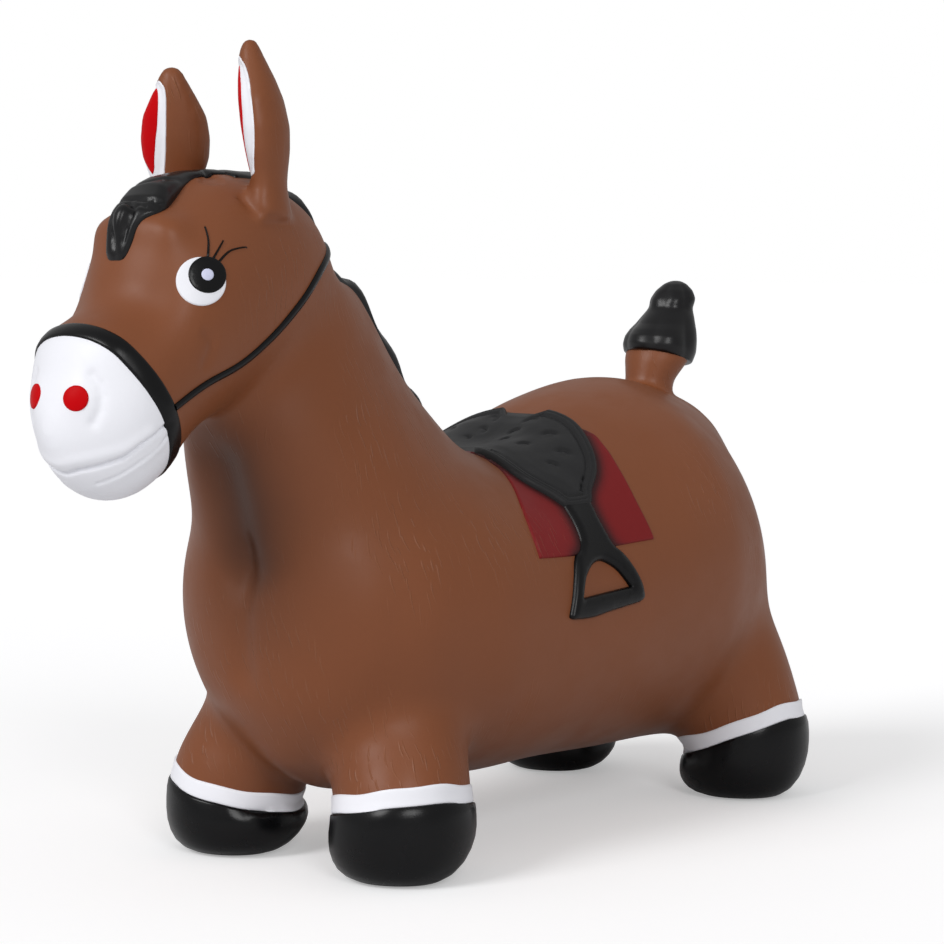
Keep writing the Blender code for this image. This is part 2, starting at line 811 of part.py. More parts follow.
def add_ear(side_name, side):
    """A leaf that faces forwards and inwards, its white lining and the red inside that."""
    turn = EAR_TURN[side_name]
    broad = Vector((math.cos(turn) * side, -math.sin(turn), 0))
    facing = Vector((-math.sin(turn) * side, -math.cos(turn), 0))
    base = ear_place(side)
    foot = base + UPWARD * (EAR_ROOT_HEIGHT + TOUCH_GAP)
    length = EAR_LENGTH[side_name] - EAR_ROOT_HEIGHT - TOUCH_GAP
    work = bmesh.new()
    rings = []
    for up, wide, deep, curl in EAR_SHARES:
        centre = foot + UPWARD * (up * length) + facing * (curl * EAR_DEPTH)
        sizes = (wide * EAR_WIDTH / 2, deep * EAR_DEPTH / 2, EAR_SIDES)
        rings.append(ring(work, centre, broad, facing, *sizes))
    bridge(work, rings)
    leaf = object_from("ear_" + side_name, work, brown).data

    def pocket(shares, width, gap=0):
        middle, up, reach = shares
        outline = oval(middle * EAR_WIDTH / 2, up * length, width / 2 + gap, reach * length + gap)
        near, far = EAR_FRONT_SHARE * EAR_DEPTH - gap, 2 * EAR_DEPTH + gap
        return prism(outline, foot, broad, UPWARD, side * near, side * far)

    lining = on_skin(
        "ear_lining_" + side_name, pocket(EAR_LINING_SHARES, EAR_LINING_WIDTH), "paint", white, leaf
    )
    cut_away(lining, pocket(EAR_CENTRE_SHARES, EAR_CENTRE_WIDTH, TOUCH_GAP))
    on_skin("ear_centre_" + side_name, pocket(EAR_CENTRE_SHARES, EAR_CENTRE_WIDTH), "paint", red, leaf)
    work = bmesh.new()
    rings = []
    for up, spread in EAR_ROOT_SHARES:
        centre = base + UPWARD * (up * (EAR_ROOT_HEIGHT + EAR_ROOT_SINK) - EAR_ROOT_SINK)
        wide = EAR_SHARES[0][1] * spread * EAR_WIDTH / 2
        deep = EAR_SHARES[0][2] * spread * EAR_DEPTH / 2
        rings.append(ring(work, centre, broad, facing, wide, deep, EAR_SIDES))
    bridge(work, rings)
    cut_away(object_from("ear_root_" + side_name, work, brown), grown("core", TOUCH_GAP))


for side_name, side in SIDES.items():
    add_ear(side_name, side)


# Tail: a soft root and a black tuft

TAIL_PLACE_SHARE = 0.9125
TAIL_ROOT_SHARES = (
    # height, from the sunken end to the tuft, backwards, half width
    (0.00, -0.06, 1.14),
    (0.38, -0.02, 1.02),
    (0.61, 0.06, 1.00),
    (0.83, 0.20, 1.14),
    (1.00, 0.32, 1.34),
)
TUFT_SHARES = (
    # up, back, half width
    (0.00, 0.00, 0.93),
    (0.18, 0.04, 1.00),
    (0.34, 0.10, 0.95),
    (0.48, 0.15, 0.87),
    (0.62, 0.24, 0.74),
    (0.74, 0.32, 0.62),
    (0.87, 0.38, 0.48),
    (0.96, 0.42, 0.32),
    (1.00, 0.43, 0.14),
)


def tail_place():
    """The point on the skin that the tail stands on."""
    y = body_y(TAIL_PLACE_SHARE)
    return Vector((0, y, skin_height(0, y, 2 * HEAD_HEIGHT, -UPWARD)))


def tail_piece(name, shares, base, height, width, backwards, material):
    """A round piece of tail from rows of height, place backwards and half width."""
    work = bmesh.new()
    rings = []
    for up, back, wide in shares:
        centre = base + UPWARD * (up * height) + ALONG * (back * backwards)
        rings.append(ring(work, centre, ACROSS, ALONG, wide * width / 2, wide * width / 2, TAIL_SIDES))
    bridge(work, rings)
    return object_from(name, work, material)


def add_tail():
    base = tail_place()
    low = base - UPWARD * TAIL_ROOT_SINK
    sizes = (TAIL_ROOT_HEIGHT + TAIL_ROOT_SINK, TAIL_ROOT_WIDTH, TAIL_ROOT_WIDTH)
    root = tail_piece("tail_root", TAIL_ROOT_SHARES, low, *sizes, brown)
    cut_away(root, grown("core", TOUCH_GAP))
    back = TAIL_ROOT_SHARES[-1][1] * TAIL_ROOT_WIDTH
    top = base + UPWARD * (TAIL_ROOT_HEIGHT + TOUCH_GAP) + ALONG * back
    tail_piece("tail_tuft", TUFT_SHARES, top, TUFT_HEIGHT, TUFT_WIDTH, TUFT_HEIGHT, black)


add_tail()


# Air valve in the belly: its seat, welded into the skin, and the plug

VALVE_PLACE_SHARE = 0.604
PLUG_TAPER_SHARE = 0.9


def valve_mouth():
    """The height of the valve's outer face, a little below the belly."""
    return skin_height(0, body_y(VALVE_PLACE_SHARE), 0, UPWARD) - VALVE_LIP


def add_valve():
    y = body_y(VALVE_PLACE_SHARE)
    low = valve_mouth()
    high = low + VALVE_LIP + VALVE_DEPTH
    room = VALVE_WIDTH / 2 + TOUCH_GAP
    cut_away(body, turned("cutter", [(room, 0), (room, high)], 0, y))
    seat = turned("valve_seat", [(VALVE_WIDTH / 2, low), (VALVE_WIDTH / 2, high)], 0, y, white)
    cut_away(seat, turned("cutter", [(VALVE_BORE / 2, 0), (VALVE_BORE / 2, high + CUT_OVERRUN)], 0, y))
    stem = VALVE_BORE / 2 - TOUCH_GAP
    head = PLUG_HEAD_WIDTH / 2
    face = low - TOUCH_GAP
    rows = [
        (head, face - PLUG_HEAD_HEIGHT),
        (head, face),
        (stem, face),
        (stem * PLUG_TAPER_SHARE, high - TOUCH_GAP),
    ]
    turned("valve_plug", rows, 0, y, white)


add_valve()


# Joint axes: an empty on each, with the pieces that move about it or along it


def hang(joint_name, place, names):
    joint = bpy.data.objects.new(joint_name, None)
    joint.location = place
    bpy.context.collection.objects.link(joint)
    bpy.context.view_layer.update()
    for name in names:
        piece = bpy.data.objects[name]
        piece.parent = joint
        piece.matrix_parent_inverse = joint.matrix_world.inverted()


for name, (x, y) in FEET.items():
    hang("foot_joint_" + name, Vector((x, y, ANKLE_BASE)), ["hoof_" + name, "hoof_band_" + name])
for side_name, side in SIDES.items():
    names = ["ear_" + side_name, "ear_lining_" + side_name, "ear_centre_" + side_name]
    hang("ear_joint_" + side_name, ear_place(side), names)
hang("tail_joint", tail_place(), ["tail_tuft"])
hang("valve_joint", Vector((0, body_y(VALVE_PLACE_SHARE), valve_mouth())), ["valve_plug"])
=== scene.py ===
# %% [markdown]
# # A bouncy ride-on horse, dressed over its frame
#
# The real toy is one hollow skin of soft PVC. It is cast in a turning mould, blown up
# with air and then painted, so it has no seams and hardly a flat place.
# The imported frame holds the same horse in plain faceted solids. This lesson models the
# fine surfaces over it, one piece for each solid, and lets most pieces ride on their body;
# the ankles, the ears with their paint and the tail stump are left where they are made.
# Everything is in metres: the horse looks along -Y and its left side is +X.

# %% Load the imported frame
import json
import math

import bmesh
import bpy
import numpy as np
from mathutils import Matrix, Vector
from mathutils.bvhtree import BVHTree
from mathutils.geometry import delaunay_2d_cdt
from mathutils.noise import noise as noise_value

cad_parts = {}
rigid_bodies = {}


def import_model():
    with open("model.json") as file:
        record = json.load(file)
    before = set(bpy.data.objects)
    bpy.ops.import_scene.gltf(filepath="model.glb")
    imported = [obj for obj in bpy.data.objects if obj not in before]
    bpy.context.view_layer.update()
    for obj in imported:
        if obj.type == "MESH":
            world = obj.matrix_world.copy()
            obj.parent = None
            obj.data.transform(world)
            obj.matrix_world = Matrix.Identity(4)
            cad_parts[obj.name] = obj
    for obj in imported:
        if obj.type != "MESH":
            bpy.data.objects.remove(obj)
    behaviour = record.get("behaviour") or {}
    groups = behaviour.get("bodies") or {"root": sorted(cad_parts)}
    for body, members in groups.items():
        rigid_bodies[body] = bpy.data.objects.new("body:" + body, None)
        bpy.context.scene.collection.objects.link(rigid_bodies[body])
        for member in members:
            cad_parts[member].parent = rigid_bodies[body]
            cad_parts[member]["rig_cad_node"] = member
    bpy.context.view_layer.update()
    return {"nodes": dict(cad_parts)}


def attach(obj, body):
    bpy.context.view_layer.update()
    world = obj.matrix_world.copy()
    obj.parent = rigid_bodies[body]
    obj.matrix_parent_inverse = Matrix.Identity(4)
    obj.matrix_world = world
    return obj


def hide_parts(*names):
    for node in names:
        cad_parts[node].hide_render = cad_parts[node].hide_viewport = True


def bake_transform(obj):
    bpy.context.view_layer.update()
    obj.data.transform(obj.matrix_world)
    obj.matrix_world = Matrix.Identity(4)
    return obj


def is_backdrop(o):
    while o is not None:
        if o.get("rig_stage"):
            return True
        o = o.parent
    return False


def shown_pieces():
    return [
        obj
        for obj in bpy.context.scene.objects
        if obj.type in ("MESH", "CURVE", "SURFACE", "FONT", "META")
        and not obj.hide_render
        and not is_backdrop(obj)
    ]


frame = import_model()

# %% [markdown]
# ## Camera
#
# The view of the photograph is a long lens at the height of the saddle, a little to the
# front of the horse's left side. The camera is set by where it stands and the way it
# looks, and not by aiming at a target, because this way it can be checked by numbers.

# %% Put the camera where the photograph was taken
CAMERA_PLACE = (1.0398, -1.22695, 0.3446)
CAMERA_AZIMUTH = math.radians(39.04)
CAMERA_RISE = math.radians(4.66)
CAMERA_LENS = 106.8

bpy.ops.object.camera_add(location=CAMERA_PLACE)
camera = bpy.context.object
camera.name = "view_camera"
camera.rotation_mode = "QUATERNION"
level = math.cos(CAMERA_RISE)
back_to_camera = Vector((
    math.sin(CAMERA_AZIMUTH) * level,
    -math.cos(CAMERA_AZIMUTH) * level,
    math.sin(CAMERA_RISE),
))
camera.rotation_quaternion = (-back_to_camera).to_track_quat("-Z", "Y")
camera.data.lens = CAMERA_LENS
camera.data.sensor_width = 36
camera.data.clip_start = 0.05
camera.data.clip_end = 30
bpy.context.scene.camera = camera
bpy.context.scene.view_settings.view_transform = "Standard"
print("camera looks along", [round(c, 3) for c in -back_to_camera])

# %% [markdown]
# ## Sizes of the horse
#
# The frame was lofted from tables of ovals. The fine skin uses the same ovals, so both
# have one shape, and only how finely it is meshed differs.

# %% Sizes, in metres, and the ovals of the trunk, neck, head and legs
BODY_LENGTH = 0.575
BODY_MIDDLE_SHARE = 0.506
TRUNK_LENGTH = 0.435
TRUNK_WIDTH = 0.236
BACK_HEIGHT = 0.262
BELLY_CLEARANCE = 0.034
HEAD_HEIGHT = 0.3865
HEAD_WIDTH = 0.104
HOOF_WIDTH = 0.081
HOOF_HEIGHT = 0.037
BAND_HEIGHT = 0.010
ANKLE_STEP = 0.0035
ANKLE_HEIGHT = 0.039
ANKLE_WIDTH = HOOF_WIDTH - 2 * ANKLE_STEP
ANKLE_BASE = HOOF_HEIGHT + BAND_HEIGHT
ANKLE_TOP = ANKLE_BASE + ANKLE_HEIGHT
CHEST_Y = (1 - BODY_MIDDLE_SHARE) * BODY_LENGTH - TRUNK_LENGTH
FEET = {
    "front_left": (0.0622, -0.08145),
    "front_right": (-0.0622, -0.08145),
    "rear_left": (0.0746, 0.23555),
    "rear_right": (-0.0746, 0.23555),
}
SIDES = {"left": 1, "right": -1}
TRUNK_SHARES = (
    # along, middle height, half width, half height
    (0.018, 0.580, 0.22, 0.33),
    (0.036, 0.580, 0.42, 0.54),
    (0.076, 0.570, 0.60, 0.71),
    (0.155, 0.550, 0.76, 0.85),
    (0.271, 0.530, 0.86, 0.87),
    (0.400, 0.500, 0.89, 0.84),
    (0.480, 0.505, 0.90, 0.84),
    (0.547, 0.520, 0.92, 0.88),
    (0.662, 0.550, 0.95, 0.97),
    (0.754, 0.565, 0.95, 1.01),
    (0.850, 0.540, 0.85, 0.97),
    (0.920, 0.500, 0.70, 0.87),
    (0.969, 0.460, 0.47, 0.66),
    (0.990, 0.440, 0.20, 0.32),
)
NECK_SHARES = (
    # height, front, back, half width
    (0.340, 0.262, 0.655, 0.760),
    (0.436, 0.254, 0.672, 0.750),
    (0.505, 0.243, 0.645, 0.710),
    (0.564, 0.230, 0.585, 0.640),
    (0.615, 0.219, 0.540, 0.570),
    (0.656, 0.216, 0.507, 0.520),
    (0.695, 0.217, 0.479, 0.475),
    (0.738, 0.223, 0.457, 0.425),
    (0.785, 0.231, 0.436, 0.375),
    (0.846, 0.240, 0.403, 0.320),
)
HEAD_SHARES = (
    # along, height, lean in quarter turns, half width, half height
    (0.018, 0.624, 0.30, 0.08, 0.16),
    (0.026, 0.620, 0.30, 0.19, 0.32),
    (0.037, 0.620, 0.30, 0.34, 0.52),
    (0.051, 0.626, 0.31, 0.55, 0.68),
    (0.067, 0.643, 0.33, 0.79, 0.81),
    (0.086, 0.673, 0.34, 0.88, 0.87),
    (0.100, 0.697, 0.34, 0.86, 0.86),
    (0.122, 0.727, 0.36, 0.87, 0.84),
    (0.150, 0.768, 0.36, 0.93, 1.00),
    (0.184, 0.813, 0.31, 0.97, 1.13),
    (0.223, 0.838, 0.17, 0.97, 1.17),
    (0.262, 0.843, 0.00, 0.93, 1.10),
    (0.300, 0.830, -0.17, 0.82, 0.94),
    (0.330, 0.810, -0.28, 0.56, 0.66),
)
LEG_SHARES = (
    # height, radius, shift towards the middle of the belly
    (0.24, 1.05, 0.00),
    (0.45, 1.05, 0.00),
    (0.62, 1.04, 0.03),
    (0.80, 1.01, 0.18),
    (1.00, 1.02, 0.38),
    (1.30, 1.00, 0.75),
    (1.60, 0.70, 1.00),
)


def body_y(along):
    """The place along the whole body of one share of its length, from the nose."""
    return (along - BODY_MIDDLE_SHARE) * BODY_LENGTH


# %% [markdown]
# ## A tube drawn through ovals
#
# A trunk, a neck or an ear is a row of ovals with a skin between them. By hand this is
# one filled circle that is extruded again and again, and after each extrusion moved,
# scaled and leant to the next oval. An upright oval has no lean. A level one leans by
# a quarter turn.

# %% Draw a closed tube through ovals
def deselect():
    for item in list(bpy.context.selected_objects):
        item.select_set(False)


def pick(item):
    """Makes one object the only selected and active one."""
    deselect()
    item.select_set(True)
    bpy.context.view_layer.objects.active = item
    return item


def oval_tube(name, ovals, sides, taper=0):
    """A closed tube through ovals of (centre, lean, half width, half height)."""
    deselect()
    upright = (math.pi / 2, 0, 0)
    bpy.ops.mesh.primitive_circle_add(vertices=sides, radius=1, fill_type="NGON", rotation=upright)
    tube = bpy.context.object
    tube.name = tube.data.name = name
    bpy.ops.object.transform_apply(rotation=True)
    for corner in tube.data.vertices:
        corner.co.x *= 1 - taper * ((1 - corner.co.z) / 2) ** 2
    bpy.ops.object.mode_set(mode="EDIT")
    bpy.ops.mesh.select_all(action="SELECT")
    place, lean, wide, high = Vector((0, 0, 0)), 0, 1, 1
    for number, (centre, new_lean, new_wide, new_high) in enumerate(ovals):
        if number:
            bpy.ops.mesh.extrude_region_move()
        bpy.ops.transform.translate(value=Vector(centre) - place)
        if lean:
            bpy.ops.transform.rotate(value=lean, orient_axis="X", center_override=centre)
        bpy.ops.transform.resize(value=(new_wide / wide, 1, new_high / high), center_override=centre)
        if new_lean:
            bpy.ops.transform.rotate(value=-new_lean, orient_axis="X", center_override=centre)
        place, lean, wide, high = Vector(centre), new_lean, new_wide, new_high
    bpy.ops.mesh.select_all(action="SELECT")
    bpy.ops.mesh.normals_make_consistent(inside=False)
    bpy.ops.object.mode_set(mode="OBJECT")
    return tube


# %% [markdown]
# ## The blown-up skin
#
# Trunk, neck, head and legs are drawn as seven tubes that pass through each other. A
# voxel remesh melts them into one surface, and smoothing rounds the valleys where they
# meet, as air pressure does on the real skin. Sculpting would also work, but it could
# not be repeated exactly.

# %% Draw the body forms and melt them together
QUARTER = math.pi / 2
SKIN_GRAIN = 0.0030
SKIN_SMOOTHING = 120


def body_forms():
    """The tubes of the trunk, neck, head and four legs."""
    half_body = (BACK_HEIGHT - BELLY_CLEARANCE) / 2
    ovals = [
        (
            (0, CHEST_Y + along * TRUNK_LENGTH, middle * BACK_HEIGHT),
            0,
            wide * TRUNK_WIDTH / 2,
            high * half_body,
        )
        for along, middle, wide, high in TRUNK_SHARES
    ]
    forms = [oval_tube("trunk_form", ovals, 64)]
    ovals = [
        (
            (0, body_y((front + rear) / 2), height * HEAD_HEIGHT),
            QUARTER,
            wide * TRUNK_WIDTH / 2,
            (rear - front) / 2 * BODY_LENGTH,
        )
        for height, front, rear, wide in NECK_SHARES
    ]
    forms.append(oval_tube("neck_form", ovals, 64, taper=0.5))
    ovals = [
        (
            (0, body_y(along), height * HEAD_HEIGHT),
            lean * QUARTER,
            wide * HEAD_WIDTH / 2,
            high * HEAD_WIDTH / 2,
        )
        for along, height, lean, wide, high in HEAD_SHARES
    ]
    forms.append(oval_tube("head_form", ovals, 56))
    for name, (x, y) in FEET.items():
        lean_in = 1.0 if y < 0 else 0.5
        ovals = []
        for height, wide, inward in LEG_SHARES:
            shift = inward * lean_in * ANKLE_WIDTH / 2
            centre = (x - math.copysign(shift, x), y - math.copysign(shift, y), height * ANKLE_TOP)
            ovals.append((centre, QUARTER, wide * ANKLE_WIDTH / 2, wide * ANKLE_WIDTH / 2))
        forms.append(oval_tube("leg_form_" + name, ovals, 48))
    return forms


def join(forms):
    """Joins objects into the first one."""
    deselect()
    for form in forms:
        form.select_set(True)
    bpy.context.view_layer.objects.active = forms[0]
    bpy.ops.object.join()
    return forms[0]


def apply_all(item):
    """Applies an object's modifiers in their order."""
    pick(item)
    for modifier in list(item.modifiers):
        bpy.ops.object.modifier_apply(modifier=modifier.name)
    return item


def melt(item, grain, smoothing):
    """Remeshes an object to an even grain and smooths it."""
    remesh = item.modifiers.new("melt", "REMESH")
    remesh.mode = "VOXEL"
    remesh.voxel_size = grain
    soften = item.modifiers.new("soften", "SMOOTH")
    soften.iterations = smoothing
    return apply_all(item)


skin = melt(join(body_forms()), SKIN_GRAIN, SKIN_SMOOTHING)
skin.name = skin.data.name = "skin"
print("skin:", len(skin.data.polygons), "faces")

# %% [markdown]
# ## Brow, chest and rump
#
# Some forms are too broad for a crease and too local for the ovals: the brow over the
# eyes, the dip of the nose, the hollow of the chest and the full rump round the tail.
# They could be sculpted. Written as lines with a width and a depth, they can be measured
# against the photograph, and both sides are alike.

# %% Press or raise soft lines
MILLIMETRE = 0.001
BROAD_LINES = (
    # width, depth and then points, in mm, of the left side. A negative depth is a ridge
    (11, -6.5, ((0, -219, 353), (22, -217, 351))),
    (16, 4.5, ((0, -242, 320), (28, -238, 318))),
    (13, -3.5, ((0, -264, 296), (24, -260, 294))),
    (16, 8.0, ((0, -160, 224), (0, -152, 200), (0, -146, 172))),
    (8, 3.5, ((0, -147, 180), (0, -143, 154), (0, -143, 131), (0, -143, 112))),
    (26, -4.5, ((0, 208, 248), (0, 238, 240))),
    (24, -7.5, ((10, 244, 236), (36, 244, 228))),
    (17, -4.5, ((0, 246, 240), (22, 250, 234))),
    (24, 6.0, ((0, 34, 229), (0, 66, 231))),
    (22, 2.0, ((0, 84, 233), (0, 104, 235))),
    (20, -6.5, ((0, -104, 60), (0, -50, 43))),
)


def line_distance(spots, line):
    """How far points are from a line of points, as an array."""
    nearest = np.full(len(spots), 1e9)
    for start, end in zip(line, line[1:]):
        run = end - start
        share = np.clip((spots - start) @ run / (run @ run), 0, 1)
        nearest = np.minimum(nearest, np.linalg.norm(spots - start - share[:, None] * run, axis=1))
    return nearest


def mesh_arrays(mesh):
    spots = np.zeros(len(mesh.vertices) * 3, np.float32)
    normals = np.zeros(len(mesh.vertices) * 3, np.float32)
    mesh.vertices.foreach_get("co", spots)
    mesh.vertices.foreach_get("normal", normals)
    return spots.reshape(-1, 3).astype(float), normals.reshape(-1, 3).astype(float)


def press_lines(item, lines):
    """Moves the points of a mesh along their normals, by the lines and their mirror."""
    spots, normals = mesh_arrays(item.data)
    sink = np.zeros(len(spots))
    for width, depth, points in lines:
        line = np.array(points, float) * MILLIMETRE
        near = np.minimum(line_distance(spots, line), line_distance(spots, line * (-1, 1, 1)))
        sink += depth * MILLIMETRE * np.exp(-((near / (width * MILLIMETRE)) ** 2))
    item.data.vertices.foreach_set("co", (spots - normals * sink[:, None]).astype(np.float32).ravel())
    item.data.update()

# %% [markdown]
# ## Ears and the stump of the tail
#
# On the real toy the ears and the stump of the tail are part of the same skin, and they
# grow out of it with a small fillet. They are too thin to be smoothed with the body, so
# they are added afterwards and melted in with a finer grain and little smoothing.

# %% Find a spot on the skin
class Surface:
    """A mesh that can be asked for the point and smooth normal that a ray meets."""

    def __init__(self, mesh):
        self.points = [corner.co.copy() for corner in mesh.vertices]
        self.normals = [corner.normal.copy() for corner in mesh.vertices]
        self.faces = [tuple(face.vertices) for face in mesh.polygons]
        self.tree = BVHTree.FromPolygons(self.points, self.faces)

    def smooth(self, place, face):
        total = Vector((0, 0, 0))
        for corner in self.faces[face]:
            total += self.normals[corner] / ((self.points[corner] - place).length_squared + 1e-9)
        return total.normalized()

    def cast(self, start, direction):
        place, _, face, _ = self.tree.ray_cast(Vector(start), Vector(direction))
        return (place, self.smooth(place, face)) if place else None

    def nearest(self, start):
        place, _, face, _ = self.tree.find_nearest(Vector(start))
        return place, self.smooth(place, face)


DOWN = Vector((0, 0, -1))
bare_skin = Surface(skin.data)
press_lines(skin, BROAD_LINES)
print("broad forms:", len(BROAD_LINES))

# %% Draw the ears and the tail stump, and melt them in
EAR_LENGTH = {"left": 0.0846, "right": 0.0722}
EAR_WIDTH = 0.035
EAR_BREADTH = {"left": 1.0, "right": 1.10}
EAR_PAINT_TURN = {"left": math.radians(42), "right": math.radians(68)}
EAR_DEPTH = 0.024
EAR_SPREAD = 0.068
EAR_TURN = {"left": math.radians(72), "right": math.radians(36)}
EAR_ROOT_HEIGHT = 0.0146
EAR_ROOT_SINK = 0.0075
EAR_SHARES = (
    # height above the root, half width, half depth, curl towards the face
    (0.00, 0.78, 0.76, 0.00),
    (0.18, 0.96, 0.90, 0.03),
    (0.36, 1.00, 1.00, 0.08),
    (0.56, 0.92, 0.95, 0.18),
    (0.71, 0.70, 0.82, 0.28),
    (0.855, 0.47, 0.60, 0.38),
    (0.95, 0.32, 0.42, 0.42),
    (1.00, 0.20, 0.27, 0.42),
    (1.02, 0.10, 0.12, 0.42),
)
EAR_ROOT_SHARES = ((0.0, 1.25), (0.45, 1.08), (0.72, 0.98))
TAIL_ROOT_WIDTH = 0.031
TAIL_ROOT_HEIGHT = 0.0314
TAIL_ROOT_SINK = 0.006
TAIL_ROOT_SHARES = (
    # height, from the sunken end to the tuft, backwards, half width
    (0.00, -0.06, 1.14),
    (0.38, -0.02, 1.02),
    (0.61, 0.06, 1.00),
    (0.83, 0.22, 1.20),
    (1.00, 0.34, 1.36),
    (1.24, 0.42, 1.30),
)
FINE_GRAIN = 0.0021
FINE_SMOOTHING = 6


def drop(x, y):
    """The point of the skin under a place, seen from above."""
    return bare_skin.cast((x, y, 2 * HEAD_HEIGHT), DOWN)[0]


EAR_PLACES = {name: drop(EAR_SPREAD / 2 * side, body_y(0.2365)) for name, side in SIDES.items()}
TAIL_PLACE = drop(0, body_y(0.9125))


def ear_form(name, side):
    """A leaf on its root, drawn facing forwards and then turned on its foot."""
    ovals = []
    for up, spread in EAR_ROOT_SHARES:
        height = up * (EAR_ROOT_HEIGHT + EAR_ROOT_SINK) - EAR_ROOT_SINK
        ovals.append(((0, 0, height), QUARTER, 0.78 * spread * EAR_WIDTH / 2, 0.76 * spread * EAR_DEPTH / 2))
    length = EAR_LENGTH[name] - EAR_ROOT_HEIGHT
    for up, wide, deep, curl in EAR_SHARES:
        centre = (0, -curl * EAR_DEPTH, EAR_ROOT_HEIGHT + up * length)
        ovals.append((centre, QUARTER, wide * EAR_BREADTH[name] * EAR_WIDTH / 2, deep * EAR_DEPTH / 2))
    ear = oval_tube("ear_form_" + name, ovals, 40)
    ear.rotation_euler.z = -side * EAR_TURN[name]
    ear.location = EAR_PLACES[name]
    pick(ear)
    bpy.ops.object.transform_apply(location=True, rotation=True)
    return ear


def stump_form():
    """The stump of the tail, that widens into its tuft."""
    ovals = []
    for up, back, wide in TAIL_ROOT_SHARES:
        rise = up * (TAIL_ROOT_HEIGHT + TAIL_ROOT_SINK) - TAIL_ROOT_SINK
        centre = TAIL_PLACE + Vector((0, back * TAIL_ROOT_WIDTH, rise))
        ovals.append((tuple(centre), QUARTER, wide * TAIL_ROOT_WIDTH / 2, wide * TAIL_ROOT_WIDTH / 2))
    return oval_tube("stump_form", ovals, 40)


forms = [skin, stump_form()]
for name, side in SIDES.items():
    forms.append(ear_form(name, side))
skin = melt(join(forms), FINE_GRAIN, FINE_SMOOTHING)
print("skin with ears and stump:", len(skin.data.polygons), "faces")

# %% [markdown]
# ## Lips, creases and hollows
#
# The mould also has small carved forms: the mouth and lips, a crease beside each
# nostril, and the hollow of each ear under its rim. They are pressed in the same way.
# They are finer than the mesh, so the faces there are halved first.

# %% Halve the faces of the muzzle and the ears
def refine(item, test):
    """Halves the grain of the faces whose middle passes a test."""
    pick(item)
    for face in item.data.polygons:
        face.select = test(face.center)
    bpy.ops.object.mode_set(mode="EDIT")
    bpy.ops.mesh.select_mode(type="FACE")
    bpy.ops.mesh.subdivide(number_cuts=1)
    bpy.ops.object.mode_set(mode="OBJECT")


def near_muzzle(spot):
    return spot.y < body_y(0.125) and spot.z < 0.80 * HEAD_HEIGHT


def near_ear(spot):
    for name in SIDES:
        away = spot - EAR_PLACES[name]
        if away.z > 0.4 * EAR_ROOT_HEIGHT and math.hypot(away.x, away.y) < EAR_WIDTH / 2 + 0.5 * away.z:
            return True
    return False


refine(skin, near_muzzle)
refine(skin, near_ear)
print("refined skin:", len(skin.data.polygons), "faces")

# %% Press the lines and hollows in
FINE_LINES = (
    # the mouth with its upper lip, the lower lip and chin
    (1.3, 1.9, (
        (42.5, -239, 254), (41.7, -241, 252.5), (37, -250.3, 245.3), (28.6, -256.8, 237.8),
        (19.5, -263.1, 234.2), (9.1, -268.4, 231.6), (0, -268.5, 229.6),
    )),
    (3.4, -0.8, ((40, -247, 251.5), (31, -257, 242.5), (21, -266, 238.5), (10, -271, 236.5), (0, -272, 235))),
    (1.0, 0.7, (
        (41.5, -237, 248.5), (40.2, -238.2, 246.7), (32.9, -248.6, 236), (23.2, -254.5, 228.8),
        (13, -259.2, 224.6),
    )),
    (2.6, -0.5, ((39, -240, 243), (31, -250, 232), (21, -256, 224), (10, -260, 219), (0, -261, 217))),
    # the crease beside the nostril, the cheek and the foot of the ear
    (2.9, 1.3, (
        (20.5, -268.4, 279.6), (24.0, -267.6, 275.5), (25.9, -267.4, 269.5), (25.4, -268.2, 262.6),
        (22.5, -269.9, 256.1),
    )),
    (2.6, 1.3, ((45, -214.2, 283.6), (45.8, -210.7, 290.1), (46.3, -209.6, 296.1), (45.6, -213.2, 298.7))),
    (2.4, 1.2, ((31, -172, 368), (38.8, -170.4, 361.5), (44, -165, 358.5), (46.5, -157, 357))),
)
NOSTRIL_SWELLS = (
    # width, depth, place: one soft round under each nostril
    (8.0, -1.4, ((14.5, -274.6, 268.1), (14.6, -274.6, 268.1))),
)
EAR_HOLLOW = 0.0015
EAR_HOLLOW_EDGE = 0.0030
EAR_HALF_WHITE = (
    # height above the root, half angle of the white in degrees
    (-0.06, 10),
    (0.00, 36),
    (0.08, 46),
    (0.22, 53),
    (0.40, 57),
    (0.57, 58),
    (0.72, 57),
    (0.81, 48),
    (0.86, 28),
    (0.885, 0),
)
EAR_HALF_RED = (
    (0.02, 0),
    (0.09, 10),
    (0.22, 18),
    (0.35, 25),
    (0.47, 29),
    (0.60, 29),
    (0.71, 24),
    (0.78, 14),
    (0.82, 0),
)


def ear_frame(name):
    """The foot of an ear's leaf and its two level directions, broad and facing."""
    side, turn = SIDES[name], EAR_TURN[name]
    broad = Vector((math.cos(turn) * side, -math.sin(turn), 0))
    facing = Vector((-math.sin(turn) * side, -math.cos(turn), 0))
    return EAR_PLACES[name] + Vector((0, 0, EAR_ROOT_HEIGHT)), broad, facing


def ear_axis(name, up):
    """The middle of an ear at a share of its leaf's height."""
    foot, _, facing = ear_frame(name)
    heights, curls = [row[0] for row in EAR_SHARES], [row[3] for row in EAR_SHARES]
    length = EAR_LENGTH[name] - EAR_ROOT_HEIGHT
    return foot + facing * (float(np.interp(up, heights, curls)) * EAR_DEPTH) + Vector((0, 0, up * length))


